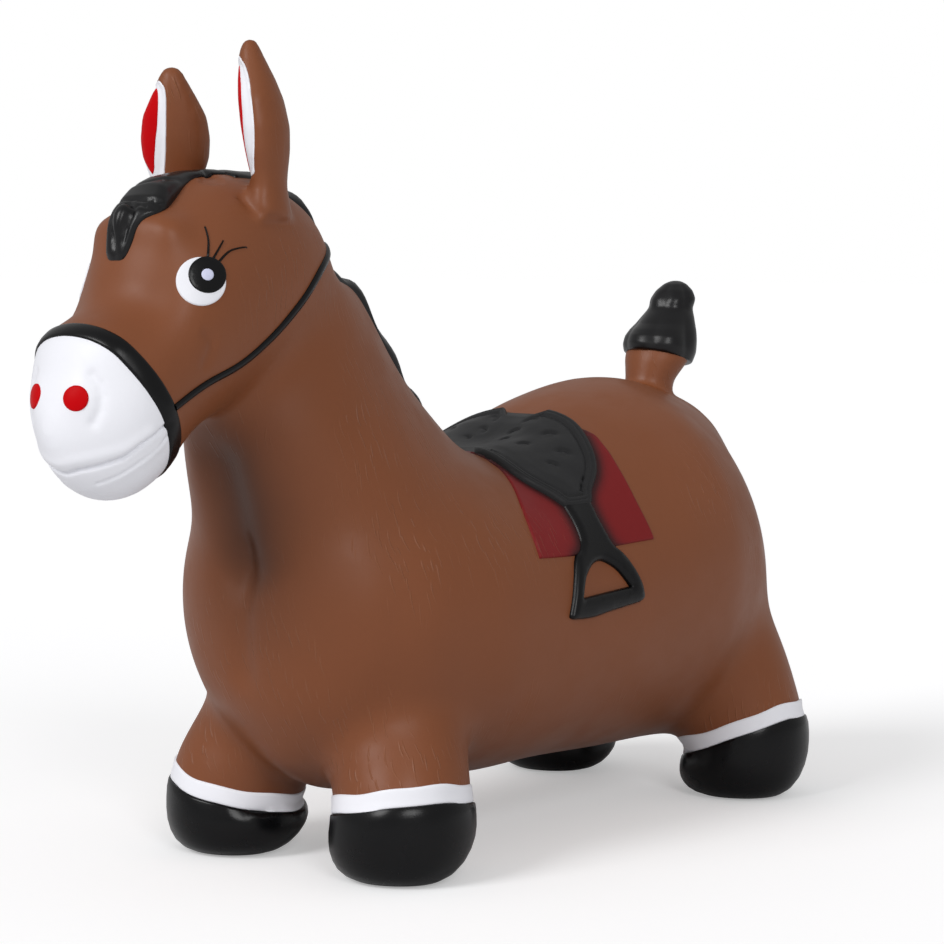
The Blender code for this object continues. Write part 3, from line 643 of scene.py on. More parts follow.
def hollow_ears(spots, normals):
    """Sinks the painted leaf of each ear below its brown rim."""
    heights, halves = zip(*EAR_HALF_WHITE)
    for name in SIDES:
        foot, broad, facing = ear_frame(name)
        for index in np.flatnonzero(np.linalg.norm(spots - np.array(foot), axis=1) < EAR_LENGTH[name] * 1.2):
            spot = Vector(spots[index])
            up = (spot.z - foot.z) / (EAR_LENGTH[name] - EAR_ROOT_HEIGHT)
            if not heights[0] < up < heights[-1]:
                continue
            away = spot - ear_axis(name, up)
            if away.length > EAR_WIDTH:
                continue
            turn = math.atan2(away.dot(broad), away.dot(facing)) - EAR_PAINT_TURN[name]
            room = math.radians(float(np.interp(up, heights, halves))) - abs(turn)
            low = min(1, max(0, room * away.length / EAR_HOLLOW_EDGE))
            spots[index] -= normals[index] * EAR_HOLLOW * low * low * (3 - 2 * low)
    return spots


press_lines(skin, NOSTRIL_SWELLS)
press_lines(skin, FINE_LINES)
skin.data.vertices.foreach_set("co", hollow_ears(*mesh_arrays(skin.data)).astype(np.float32).ravel())
skin.data.update()
whole = Surface(skin.data)
print("fine lines:", len(FINE_LINES), "on each side")

# %% [markdown]
# ## Materials
#
# Every part is the same satin PVC, and only its paint differs. So the things that the
# paints share are built once, as two node groups: the faint unevenness of sprayed paint
# with its grain, and the fine hair strokes that were cut into the mould. The shader
# itself stays in each material, with its own gloss.

# %% Build the shared effects as node groups
def new_group(name, inputs, outputs):
    """An empty shader node group with named float or colour sockets."""
    tree = bpy.data.node_groups.new(name, "ShaderNodeTree")
    for title, kind, value in inputs:
        socket = tree.interface.new_socket(name=title, in_out="INPUT", socket_type="NodeSocket" + kind)
        socket.default_value = value
    for title, kind in outputs:
        tree.interface.new_socket(name=title, in_out="OUTPUT", socket_type="NodeSocket" + kind)
    return tree, tree.nodes.new("NodeGroupInput"), tree.nodes.new("NodeGroupOutput")


def feed(tree, kind, settings=(), **sources):
    """A node with its settings, whose inputs take sockets or plain values."""
    node = tree.nodes.new("ShaderNode" + kind)
    for title, value in dict(settings).items():
        setattr(node, title, value)
    for title, source in sources.items():
        spot = int(title[1:]) if title[0] == "i" and title[1:].isdigit() else title.replace("_", " ")
        if isinstance(source, bpy.types.NodeSocket):
            tree.links.new(source, node.inputs[spot])
        else:
            node.inputs[spot].default_value = source
    return node


def number(tree, operation, *values):
    """The result of one Math node."""
    sockets = {"i%d" % place: value for place, value in enumerate(values)}
    return feed(tree, "Math", {"operation": operation}, **sockets).outputs[0]


def ramp(tree, value, low, high, start=0.0, end=1.0):
    """A smooth step of a value between two limits."""
    node = feed(tree, "MapRange", {"interpolation_type": "SMOOTHSTEP"}, Value=value)
    for title, amount in (("From Min", low), ("From Max", high), ("To Min", start), ("To Max", end)):
        node.inputs[title].default_value = amount
    return node.outputs[0]


def noise(tree, place, scale, detail=2.0):
    return feed(tree, "TexNoise", Vector=place, Scale=scale, Detail=detail).outputs["Fac"]


tree, inward, outward = new_group(
    "sprayed_vinyl",
    [
        ("Colour", "Color", (0.5, 0.5, 0.5, 1)),
        ("Unevenness", "Float", 0.10),
        ("Gloss", "Float", 0.42),
    ],
    [("Colour", "Color"), ("Roughness", "Float"), ("Height", "Float")],
)
place = feed(tree, "TexCoord").outputs["Object"]
cloud = noise(tree, place, 14.0, 3.0)
speck = noise(tree, place, 420.0, 2.0)
mottle = number(tree, "ADD", number(tree, "MULTIPLY", cloud, 0.75), number(tree, "MULTIPLY", speck, 0.25))
shift = number(tree, "MULTIPLY", number(tree, "SUBTRACT", mottle, 0.5), inward.outputs["Unevenness"])
bright = number(tree, "ADD", number(tree, "MULTIPLY", shift, 2.0), 1.0)
tone = feed(tree, "HueSaturation", Value=bright, Color=inward.outputs["Colour"])
tree.links.new(tone.outputs["Color"], outward.inputs["Colour"])
rub = ramp(tree, noise(tree, place, 32.0, 4.0), 0.35, 0.75, -0.05, 0.07)
tree.links.new(number(tree, "ADD", inward.outputs["Gloss"], rub), outward.inputs["Roughness"])
orange_peel = number(tree, "MULTIPLY", noise(tree, place, 260.0, 1.0), 0.7)
grain = number(tree, "ADD", orange_peel, number(tree, "MULTIPLY", noise(tree, place, 1100.0, 1.0), 0.3))
tree.links.new(grain, outward.inputs["Height"])
vinyl_group = tree

STROKE_TURN = math.radians(17)
STROKES_PER_METRE = (190.0, 190.0, 60.0)
tree, inward, outward = new_group(
    "hair_strokes",
    [("Density", "Float", 1.0), ("Width", "Float", 0.125)],
    [("Height", "Float")],
)
place = feed(tree, "TexCoord").outputs["Object"]
sway = feed(tree, "TexNoise", Vector=place, Scale=34.0, Detail=1.0).outputs["Color"]
bent = feed(tree, "MixRGB", {"blend_type": "ADD"}, Fac=0.010, Color1=place, Color2=sway).outputs[0]
cells = feed(tree, "Mapping", Vector=bent, Rotation=(STROKE_TURN, 0, 0), Scale=STROKES_PER_METRE).outputs[0]
stroke = feed(tree, "TexVoronoi", Vector=cells, Scale=1.0)
away = feed(tree, "VectorMath", {"operation": "SUBTRACT"}, i0=stroke.outputs["Position"], i1=cells).outputs[0]
facing = feed(tree, "NewGeometry").outputs["Normal"]
across = feed(tree, "VectorMath", {"operation": "CROSS_PRODUCT"}, i0=facing, i1=(0, 0, 1)).outputs[0]
across = feed(tree, "VectorMath", {"operation": "NORMALIZE"}, i0=across).outputs[0]
aside = feed(tree, "VectorMath", {"operation": "DOT_PRODUCT"}, i0=away, i1=across).outputs["Value"]
along = feed(tree, "SeparateXYZ", Vector=away).outputs["Z"]
lean = number(tree, "MULTIPLY", along, number(tree, "MULTIPLY_ADD", along, 1.6, 1.1))
aside = number(tree, "SUBTRACT", aside, lean)
thin = ramp(tree, number(tree, "DIVIDE", number(tree, "ABSOLUTE", aside), inward.outputs["Width"]), 1.0, 0.0)
short = ramp(tree, number(tree, "ABSOLUTE", along), 0.40, 0.12)
chosen = feed(tree, "SeparateXYZ", Vector=stroke.outputs["Color"]).outputs["X"]
chosen = ramp(tree, chosen, 0.15, 0.35)
tufts = ramp(tree, noise(tree, place, 13.0, 1.0), 0.40, 0.58)
levelness = number(tree, "ABSOLUTE", feed(tree, "SeparateXYZ", Vector=facing).outputs["Z"])
upright = ramp(tree, levelness, 0.80, 0.45)
behind_face = ramp(tree, feed(tree, "SeparateXYZ", Vector=place).outputs["Y"], -0.200, -0.170)
tufts = number(tree, "MULTIPLY", tufts, number(tree, "MULTIPLY", upright, behind_face))
shown = number(tree, "MULTIPLY", number(tree, "MULTIPLY", chosen, tufts), inward.outputs["Density"])
ridge = number(tree, "MULTIPLY", number(tree, "MULTIPLY", thin, short), shown)
tree.links.new(ridge, outward.inputs["Height"])
stroke_group = tree
print("groups:", vinyl_group.name, stroke_group.name)

# %% Mix the paints
# Painted highlight: the hair strokes are lightened towards a pale brown, where a sheen would catch them
STROKE_HIGHLIGHT = 0.16
STROKE_HIGHLIGHT_BROWN = (0.42, 0.20, 0.11, 1)


def vinyl(name, colour, gloss, unevenness=0.10, grain=0.00010, strokes=0.0, sheen=0.2):
    """A satin PVC paint: Principled shader, sprayed colour, grain and hair strokes, with a painted highlight
    along the strokes.
    """
    material = bpy.data.materials.new(name)
    material.use_nodes = True
    tree = material.node_tree
    shader = tree.nodes["Principled BSDF"]
    spray = tree.nodes.new("ShaderNodeGroup")
    spray.node_tree = vinyl_group
    spray.inputs["Colour"].default_value = (*colour, 1)
    spray.inputs["Unevenness"].default_value = unevenness
    spray.inputs["Gloss"].default_value = gloss
    tree.links.new(spray.outputs["Colour"], shader.inputs["Base Color"])
    tree.links.new(spray.outputs["Roughness"], shader.inputs["Roughness"])
    shader.inputs["IOR"].default_value = 1.5
    shader.inputs["Specular IOR Level"].default_value = sheen
    bump = feed(tree, "Bump", Strength=0.5, Distance=grain, Height=spray.outputs["Height"])
    if strokes:
        hair = tree.nodes.new("ShaderNodeGroup")
        hair.node_tree = stroke_group
        # painted highlight: lighten the colour along each hair stroke
        highlight_share = number(tree, "MULTIPLY", hair.outputs["Height"], STROKE_HIGHLIGHT)
        highlighted = feed(tree, "MixRGB", Fac=highlight_share, Color1=spray.outputs["Colour"], Color2=STROKE_HIGHLIGHT_BROWN)
        tree.links.new(highlighted.outputs[0], shader.inputs["Base Color"])
        cut = feed(tree, "Bump", Strength=0.8, Distance=strokes, Height=hair.outputs["Height"])
        tree.links.new(bump.outputs["Normal"], cut.inputs["Normal"])
        bump = cut
    tree.links.new(bump.outputs["Normal"], shader.inputs["Normal"])
    return material


brown_coat = vinyl("brown_coat", (0.205, 0.064, 0.023), 0.45, 0.10, strokes=0.00034, sheen=0.3)
black_gloss = vinyl("black_gloss", (0.0030, 0.0030, 0.0035), 0.29, 0.25, sheen=0.23)
black_saddle = vinyl("black_saddle", (0.0180, 0.0180, 0.0190), 0.48, 0.20, grain=0.00018, sheen=0.18)
black_hair = vinyl("black_hair", (0.0035, 0.0033, 0.004), 0.32, 0.20, grain=0.00002, sheen=0.34)
white_paint = vinyl("white_paint", (0.85, 0.855, 0.905), 0.42, 0.03)
red_paint = vinyl("red_paint", (0.52, 0.0006, 0.003), 0.42, 0.06, sheen=0.06)
blanket_paint = vinyl("blanket_paint", (0.19, 0.012, 0.013), 0.46, 0.14, strokes=0.0003, sheen=0.15)
light_grey = vinyl("light_grey", (0.64, 0.66, 0.84), 0.38, 0.04)
valve_plastic = vinyl("valve_plastic", (0.70, 0.71, 0.73), 0.32, 0.04)


def spray_and_shade_over(material, attribute, colour):
    """A second colour over a paint, as thick as the mesh attribute says: black overspray on the blanket,
    painted shade on the coat.
    """
    tree = material.node_tree
    base = tree.nodes["Principled BSDF"].inputs["Base Color"]
    share = feed(tree, "Attribute", {"attribute_name": attribute}).outputs["Fac"]
    mixed = feed(tree, "MixRGB", Fac=share, Color1=base.links[0].from_socket, Color2=(*colour, 1))
    tree.links.new(mixed.outputs[0], base)


spray_and_shade_over(blanket_paint, "mist", (0.010, 0.010, 0.011))
# painted shade: a darker brown over the coat, strongest in the hollow of the chest and under the belly
spray_and_shade_over(brown_coat, "painted_shade", (0.030, 0.011, 0.006))
print("paints:", len(bpy.data.materials))

# %% [markdown]
# ## The skin as separate pieces
#
# The frame bends at the ankles, the ear roots and the stump, and the white muzzle is a
# piece of its own. So the fine skin is separated along those lines. Each piece keeps
# the normals of the whole skin, and neighbours share their edge points, so no seam
# shows. Each hole is closed inside with a fan of faces.

# %% Separate the skin
NOSEBAND_WIDTH = 0.0115
NOSEBAND_PLACE = Vector((0, body_y(0.0946), 0.697 * HEAD_HEIGHT))
MUZZLE_PITCH = math.radians(31)
MUZZLE_AXIS = Vector((0, -math.cos(MUZZLE_PITCH), -math.sin(MUZZLE_PITCH)))
MUZZLE_UP = Vector((0, -math.sin(MUZZLE_PITCH), math.cos(MUZZLE_PITCH)))
ANKLE_ROOM = 0.003
EAR_ROOM = 0.0185
EAR_ROOM_GROWTH = 0.6
STUMP_FOOT = 0.002
STUMP_ROOM = 0.032
STUMP_SHIFT = 0.004


def in_muzzle(spot):
    away = spot - NOSEBAND_PLACE
    return away.dot(MUZZLE_AXIS) > NOSEBAND_WIDTH / 2 and abs(away.dot(MUZZLE_UP)) < 0.6 * HEAD_WIDTH


def in_ankle(x, y):
    def test(spot):
        return spot.z < ANKLE_TOP and math.hypot(spot.x - x, spot.y - y) < HOOF_WIDTH / 2 + ANKLE_ROOM

    return test


def in_ear(name, lowest, highest):
    base = EAR_PLACES[name]

    def test(spot):
        away = spot - base
        room = EAR_ROOM + max(away.z, 0) * EAR_ROOM_GROWTH
        return lowest < away.z <= highest and math.hypot(away.x, away.y) < room

    return test


def in_stump(spot):
    away = spot - TAIL_PLACE
    return away.z > STUMP_FOOT and math.hypot(away.x, away.y - STUMP_SHIFT) < STUMP_ROOM


def keep_normals(item):
    """Writes each point's smooth normal into the mesh, so it outlives a cut."""
    normals = np.zeros(len(item.data.vertices) * 3, np.float32)
    item.data.vertices.foreach_get("normal", normals)
    item.data.attributes.new("whole_normal", "FLOAT_VECTOR", "POINT").data.foreach_set("vector", normals)


def split_off(item, name, test):
    """Separates the faces whose middle passes a test."""
    pick(item)
    for face in item.data.polygons:
        face.select = test(face.center)
    bpy.ops.object.mode_set(mode="EDIT")
    bpy.ops.mesh.select_mode(type="FACE")
    bpy.ops.mesh.separate(type="SELECTED")
    bpy.ops.object.mode_set(mode="OBJECT")
    item.select_set(False)
    part = bpy.context.selected_objects[0]
    part.name = part.data.name = name
    return part


def close_holes(item):
    """Fans each open loop to its middle and gives the skin faces their old normals back."""
    work = bmesh.new()
    work.from_mesh(item.data)
    skin_faces = len(work.faces)
    rim = [edge for edge in work.edges if edge.is_boundary]
    caps = bmesh.ops.holes_fill(work, edges=rim, sides=0)["faces"]
    bmesh.ops.poke(work, faces=caps)
    work.to_mesh(item.data)
    work.free()
    item.data.shade_smooth()
    store = np.zeros(len(item.data.vertices) * 3, np.float32)
    item.data.attributes["whole_normal"].data.foreach_get("vector", store)
    store = store.reshape(-1, 3)
    normals = np.zeros((len(item.data.loops), 3), np.float32)
    for face in item.data.polygons:
        for loop in face.loop_indices:
            old = store[item.data.loops[loop].vertex_index]
            normals[loop] = old if face.index < skin_faces else face.normal
    item.data.normals_split_custom_set(normals)
    item.data.attributes.remove(item.data.attributes["whole_normal"])
    return len(caps)


def dress(piece, material):
    """Gives a piece its one material."""
    piece.data.materials.clear()
    piece.data.materials.append(material)
    return piece


PAINTED_SHADE_LINES = (
    # share, reach in mm, points in mm: painted shade, the brown darkened in the hollow of the chest, down its
    # front and under the belly
    (0.74, 27, ((5, -156, 228), (8, -147, 205), (6, -143, 182))),
    (0.28, 46, ((0, -150, 205), (0, -140, 150))),
    (0.45, 60, ((0, -60, 40), (0, 160, 40))),
)
# Painted shade: the coat is darkened near these lines, where shade falls below the head and under the belly
spots, _ = mesh_arrays(skin.data)
shade = np.zeros(len(spots))
for share, reach, points in PAINTED_SHADE_LINES:
    line = np.array(points, float) * MILLIMETRE
    shade = np.maximum(shade, share * np.exp(-((line_distance(spots, line) / (reach * MILLIMETRE)) ** 2)))
painted_shade = skin.data.attributes.new("painted_shade", "FLOAT", "POINT")
painted_shade.data.foreach_set("value", shade.astype(np.float32))
keep_normals(skin)
muzzle = split_off(skin, "muzzle_skin", in_muzzle)
ankles = {name: split_off(skin, "ankle_skin_" + name, in_ankle(x, y)) for name, (x, y) in FEET.items()}
ear_tips = {name: split_off(skin, "ear_leaf_" + name, in_ear(name, EAR_ROOT_HEIGHT, 1)) for name in SIDES}
ear_roots = {
    name: split_off(skin, "ear_foot_" + name, in_ear(name, -0.001, EAR_ROOT_HEIGHT)) for name in SIDES
}
stump = split_off(skin, "tail_stump", in_stump)
coat = skin
coat.name = coat.data.name = "body_coat"
for piece in (coat, stump, *ankles.values(), *ear_tips.values(), *ear_roots.values()):
    closed = close_holes(piece)
    dress(piece, brown_coat)
    print(piece.name, len(piece.data.polygons), "faces,", closed, "holes closed")
close_holes(muzzle)
dress(muzzle, white_paint)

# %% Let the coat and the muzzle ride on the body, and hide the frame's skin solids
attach(coat, "body")
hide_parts("body_skin")
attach(muzzle, "body")
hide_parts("muzzle")
for name, (x, y) in FEET.items():
    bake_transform(ankles[name])
    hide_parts("ankle_" + name)
# How far above the foot of an ear or the tail bend() works out the start and end of a bend
EAR_BEND = (0.0054, 0.0215)
TAIL_BEND = (0.0092, 0.0265)
BEND_LEANS = {"left": (0.435, 0.028, 0.900), "right": (-0.435, 0.028, 0.900), "tail": (0, 0.3255, 0.9456)}


def bend(piece, place, lean, reach):
    """Works out where a bend along the lean would start and end, and only bakes the piece's transform."""
    start, end = (place + Vector(lean) * distance for distance in reach)
    tuple(start)
    tuple(end)
    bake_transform(piece)


for name in SIDES:
    for piece in (ear_roots[name], ear_tips[name]):
        bend(piece, EAR_PLACES[name], BEND_LEANS[name], EAR_BEND)
    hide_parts("ear_root_" + name)
    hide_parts("ear_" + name)
bend(stump, TAIL_PLACE, BEND_LEANS["tail"], TAIL_BEND)
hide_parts("tail_root")

# %% [markdown]
# ## Hooves and their white bands
#
# A hoof is a squat round cup whose rim rises towards the outside of the leg, because a
# heavy rider splays the legs. It is drawn as a tube of many ovals and then tilted, more
# and more from the flat sole up to the rim. The band is a soft roll of paint on the
# step above it.

# %% Model a hoof and a band for each foot
HOOF_SHARES = (
    # radius, height
    (0.48, 0.000),
    (0.58, 0.006),
    (0.70, 0.030),
    (0.80, 0.080),
    (0.885, 0.165),
    (0.945, 0.280),
    (0.985, 0.420),
    (1.000, 0.570),
    (0.998, 0.720),
    (0.988, 0.860),
    (0.974, 0.960),
    (0.962, 0.993),
    (0.935, 1.000),
    (0.800, 0.998),
)
BAND_SHARES = (
    # radius beyond the skin of the ankle, height in band heights
    (-0.0040, 0.00),
    (0.0010, 0.00),
    (0.0014, 0.04),
    (0.0014, 0.15),
    (0.0012, 0.35),
    (0.0010, 0.60),
    (0.0009, 0.85),
    (0.0007, 0.97),
    (0.0002, 1.02),
    (-0.0040, 1.02),
)
HOOF_HEEL_RISE = 0.0165
FOOT_LEANS = {
    # how much the rim rises outwards and backwards per length, and as a whole
    "front_left": (0.195, -0.10, 0.0012),
    "front_right": (0.215, -0.085, -0.0040),
    "rear_left": (0.38, 0.06, 0.0),
    "rear_right": (0.38, 0.06, 0.0),
}
LOWEST_FITTED = 0.027
TIGHTEST_FIT = 0.955
WIDEST_ANKLE = 0.046
HEEL_SOFTNESS = 0.12


def skin_radius(x, y, spot, usual):
    """How far the skin of an ankle lies from the foot's axis, at the height and side of a spot."""
    outward = Vector((spot.x - x, spot.y - y, 0)).normalized()
    met = whole.cast(Vector((x, y, spot.z)) + outward * WIDEST_ANKLE, -outward)
    return (met[0] - Vector((x, y, met[0].z))).length if met and spot.z > LOWEST_FITTED else usual


def foot_tube(name, rows, foot):
    """A round piece about a foot's own axis, tilted with it, with a raised heel."""
    x, y = FEET[foot]
    tube = oval_tube(name, [((x, y, height), QUARTER, radius, radius) for radius, height in rows], 96)
    outwards, backwards, rise = FOOT_LEANS[foot]
    for corner in tube.data.vertices:
        away_x, away_y = corner.co.x - x, corner.co.y - y
        up = min(max(corner.co.z / HOOF_HEIGHT, 0), 1)
        heel = away_y / (HOOF_WIDTH / 2)
        heel = HEEL_SOFTNESS * math.log1p(math.exp(heel / HEEL_SOFTNESS))
        heel = heel * HOOF_HEEL_RISE * (1 - up) ** 0.8
        turn = math.atan2(away_y, away_x)
        wave = 0.0003 * math.sin(3 * turn + y * 40) + 0.0002 * math.sin(7 * turn + x * 50)
        over = max(corner.co.z - HOOF_HEIGHT, 0) / BAND_HEIGHT
        lean = away_x * math.copysign(outwards, x) + away_y * backwards + rise
        soft = 1 + 0.012 * noise_value(corner.co * 45)
        corner.co.x, corner.co.y = x + away_x * soft, y + away_y * soft
        corner.co.z += up * lean + heel + wave * up + wave * over
    pick(tube)
    bpy.ops.object.shade_smooth_by_angle(angle=math.radians(60))
    return tube


for name, (x, y) in FEET.items():
    rows = [(share * HOOF_WIDTH / 2, height * HOOF_HEIGHT) for share, height in HOOF_SHARES]
    hoof = dress(foot_tube("hoof_cup_" + name, rows, name), black_gloss)
    rows = [(ANKLE_WIDTH / 2 + more, HOOF_HEIGHT + up * BAND_HEIGHT) for more, up in BAND_SHARES]
    band = dress(foot_tube("hoof_roll_" + name, rows, name), white_paint)
    for piece, reach in ((hoof, HOOF_HEIGHT / 3), (band, 0.0001)):
        for corner in piece.data.vertices:
            away = Vector((corner.co.x - x, corner.co.y - y, 0))
            rim = HOOF_HEIGHT + away.x * math.copysign(FOOT_LEANS[name][0], x) + away.y * FOOT_LEANS[name][1]
            near = min(1, max(0, 1 - (rim + FOOT_LEANS[name][2] - corner.co.z) / reach))
            fitted = max(TIGHTEST_FIT, skin_radius(x, y, corner.co, ANKLE_WIDTH / 2) / (ANKLE_WIDTH / 2))
            corner.co += away * (fitted - 1) * near * near
    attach(hoof, "foot_" + name)
    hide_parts("hoof_" + name)
    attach(band, "foot_" + name)
    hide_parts("hoof_band_" + name)
print("feet dressed:", len(FEET))

# %% [markdown]
# ## Raised and painted pieces that follow the skin
#
# Saddle, blanket, eyes and forelock are shapes in the mould that stand a little proud of
# the skin. By hand one would draw their outline on a sheet, cut it, lay it on the body
# and thicken it. The helper does just that: it fills the outline with small triangles,
# lays each point on the skin along a ray, and lifts it by a height that fades out at
# the edge. A grid cannot do this, because its edge would be jagged at this size.

# %% Cut a sheet to an outline
def smooth_loop(points, step, sharp=()):
    """A closed loop resampled on a smooth curve through its points."""
    count = len(points)
    dense = []
    for index in range(count):
        four = [np.array(points[(index + shift) % count], float) for shift in (-1, 0, 1, 2)]
        before, here, ahead, after = four
        if index in sharp:
            before = here
        if (index + 1) % count in sharp:
            after = ahead
        pieces = max(1, round(np.linalg.norm(ahead - here) / step))
        for part in range(pieces):
            t = part / pieces
            spot = here * 2 + (ahead - before) * t
            spot += (before * 2 - here * 5 + ahead * 4 - after) * t**2
            spot += (here * 3 - before - ahead * 3 + after) * t**3
            dense.append(spot / 2)
    return np.array(dense)


def edge_distance(spots, loops):
    """How far each spot is from the nearest edge of the loops."""
    nearest = np.full(len(spots), 1e9)
    for loop in loops:
        starts, ends = loop, np.roll(loop, -1, axis=0)
        for start, run in zip(starts, ends - starts):
            share = np.clip(((spots - start) @ run) / max(run @ run, 1e-18), 0, 1)
            nearest = np.minimum(nearest, np.linalg.norm(spots - start - share[:, None] * run, axis=1))
    return nearest


def inside(spots, loops):
    """True for each spot that lies within the outline and outside its holes."""
    crossings = np.zeros(len(spots), int)
    for loop in loops:
        for (u0, v0), (u1, v1) in zip(loop, np.roll(loop, -1, axis=0)):
            spans = (v0 > spots[:, 1]) != (v1 > spots[:, 1])
            with np.errstate(divide="ignore", invalid="ignore"):
                reach = u0 + (spots[:, 1] - v0) * (u1 - u0) / (v1 - v0)
            crossings += spans & (spots[:, 0] < reach)
    return crossings % 2 == 1


def cut_sheet(loops, grain, edge_rows):
    """Points and triangles that fill the loops, closer together near the edge."""
    border = np.concatenate(loops)
    spots, links, first = [border], [], 0
    for loop in loops:
        count = len(loop)
        links += [(first + index, first + (index + 1) % count) for index in range(count)]
        first += count
        run = np.roll(loop, -1, axis=0) - np.roll(loop, 1, axis=0)
        length = np.maximum(np.linalg.norm(run, axis=1), 1e-12)
        square = np.stack([-run[:, 1], run[:, 0]], 1) / length[:, None]
        for row in edge_rows:
            for way in (1, -1):
                moved = loop + square * row * way
                spots.append(moved[inside(moved, loops) & (edge_distance(moved, loops) > 0.93 * row)])
    low, high = border.min(0), border.max(0)
    across, along = (np.arange(low[axis], high[axis], grain) for axis in (0, 1))
    grid = np.array([(u + (row % 2) * grain / 2, v) for row, v in enumerate(along) for u in across])
    margin = (edge_rows[-1] if edge_rows else 0) + 0.6 * grain
    spots.append(grid[inside(grid, loops) & (edge_distance(grid, loops) > margin)])
    flat = [Vector(spot) for spot in np.concatenate(spots)]
    made, _, faces, _, _, _ = delaunay_2d_cdt(flat, links, [], 0, 1e-7)
    made = np.array([tuple(spot) for spot in made])
    middles = np.array([made[list(face)].mean(0) for face in faces])
    kept = [tuple(face) for face, good in zip(faces, inside(middles, loops)) if good]
    return made, kept


# %% Lay a sheet on the skin and lift it
SINK = 0.0008


def as_object(work, name):
    """Turns faces that were built one by one into a smooth object."""
    bmesh.ops.recalc_face_normals(work, faces=work.faces)
    mesh = bpy.data.meshes.new(name)
    work.to_mesh(mesh)
    work.free()
    item = bpy.data.objects.new(name, mesh)
    bpy.context.collection.objects.link(item)
    pick(item)
    bpy.ops.object.shade_smooth_by_angle(angle=math.radians(50))
    print(name, len(mesh.polygons), "faces")
    return item


def laid_on(name, loops, lay, height, grain=0.0022, edge_rows=(0.0005, 0.0011, 0.0020)):
    """A closed raised piece: lay(u, v) gives its spot and normal, height(spots, edges) its lift."""
    flat, faces = cut_sheet(loops, grain, edge_rows)
    lifts = height(flat, edge_distance(flat, loops))
    work = bmesh.new()
    tops, lows = [], []
    for (u, v), lift in zip(flat, lifts):
        spot, normal = lay(u, v)
        tops.append(work.verts.new(spot + normal * lift))
        lows.append(work.verts.new(spot - normal * SINK))
    uses = {}
    for face in faces:
        work.faces.new([tops[corner] for corner in face])
        work.faces.new([lows[corner] for corner in reversed(face)])
        for start, end in zip(face, face[1:] + face[:1]):
            uses[(start, end)] = uses.get((start, end), 0) + 1
    for start, end in uses:
        if (end, start) not in uses:
            work.faces.new((tops[start], lows[start], lows[end], tops[end]))
    bmesh.ops.delete(work, geom=[corner for corner in work.verts if not corner.link_faces], context="VERTS")
    return as_object(work, name)


def rounded(full, reach):
    """A lift that rises to its full height over a rounded edge."""
    def lift(spots, edges):
        fall = 1 - np.clip(edges / reach, 0, 1)
        return full * np.sqrt(1 - fall**2)

    return lift


# %% [markdown]
# ## Saddle, blanket and stirrups
#
# These wrap over the back, so the sheet is wound round the trunk: its first measure runs
# along the horse and its second down the girth from the ridge of the back. The outlines
# are kept as they look from the side, and each point is moved down the girth until it
# has its height.

# %% Wind a sheet round the trunk
GIRTH_MIDDLE = 0.140
GIRTH_RADIUS = 0.115
PAINT_LIFT = 0.0011


def on_girth(y, girth):
    """The spot and normal on the skin at a place along the back and down the girth."""
    turn = girth / GIRTH_RADIUS
    outward = Vector((math.sin(turn), 0, math.cos(turn)))
    return whole.cast(Vector((0, y, GIRTH_MIDDLE)) + outward * 0.4, -outward)


def girth_at(y, z):
    """How far down the left side the skin has a height, or nothing above the ridge."""
    if on_girth(y, 0)[0].z <= z:
        return None
    near, far = 0.0, 0.75 * math.pi * GIRTH_RADIUS
    for _ in range(18):
        middle = (near + far) / 2
        if on_girth(y, middle)[0].z > z:
            near = middle
        else:
            far = middle
    return near


def trunk_outline(shares, step=0.0022, sharp=()):
    """A side view outline as points along the back and down the left side, evened out."""
    points = [(CHEST_Y + along * TRUNK_LENGTH, height * BACK_HEIGHT) for along, height in shares]
    wound = []
    for y, z in smooth_loop(points, step, sharp):
        girth = girth_at(y, z)
        if girth is not None:
            wound.append((y, girth))
    wound = np.array(wound)
    if sharp:
        return wound
    for _ in range(6):
        even = (np.roll(wound, 1, axis=0) + wound * 2 + np.roll(wound, -1, axis=0)) / 4
        near = np.linalg.norm(even - wound, axis=1) < step
        wound = np.where(near[:, None], even, wound)
    return wound


def over_back(half):
    """Both halves of an outline whose left half starts and ends at the ridge."""
    start = int(np.argmax(np.abs(np.diff(half[:, 0], append=half[:1, 0])) + np.linalg.norm(
        np.diff(half, axis=0, append=half[:1]), axis=1)))
    half = np.roll(half, -start - 1, axis=0)
    return np.concatenate([half, half[::-1] * (1, -1)])


SADDLE_SHARES = (
    (0.437, 0.738),
    (0.433, 0.752),
    (0.417, 0.774),
    (0.402, 0.795),
    (0.396, 0.818),
    (0.404, 0.844),
    (0.430, 0.882),
    (0.454, 0.916),
    (0.471, 1.060),
    (0.560, 1.060),
    (0.590, 0.948),
    (0.602, 0.930),
    (0.594, 0.906),
    (0.581, 0.881),
    (0.567, 0.854),
    (0.553, 0.827),
    (0.533, 0.797),
    (0.512, 0.774),
    (0.496, 0.754),
    (0.491, 0.740),
)
BLANKET_SHARES = (
    (0.403, 0.848),
    (0.390, 0.822),
    (0.356, 0.758),
    (0.343, 0.706),
    (0.340, 0.650),
    (0.423, 0.646),
    (0.495, 0.655),
    (0.571, 0.662),
    (0.568, 0.741),
    (0.576, 0.808),
    (0.588, 0.860),
    (0.592, 0.891),
    (0.560, 0.935),
    (0.530, 1.060),
    (0.484, 1.060),
    (0.461, 0.912),
)
STRAP_LEFT_SHARES = (
    (0.440, 0.770),
    (0.437, 0.738),
    (0.436, 0.712),
    (0.434, 0.689),
    (0.430, 0.668),
)
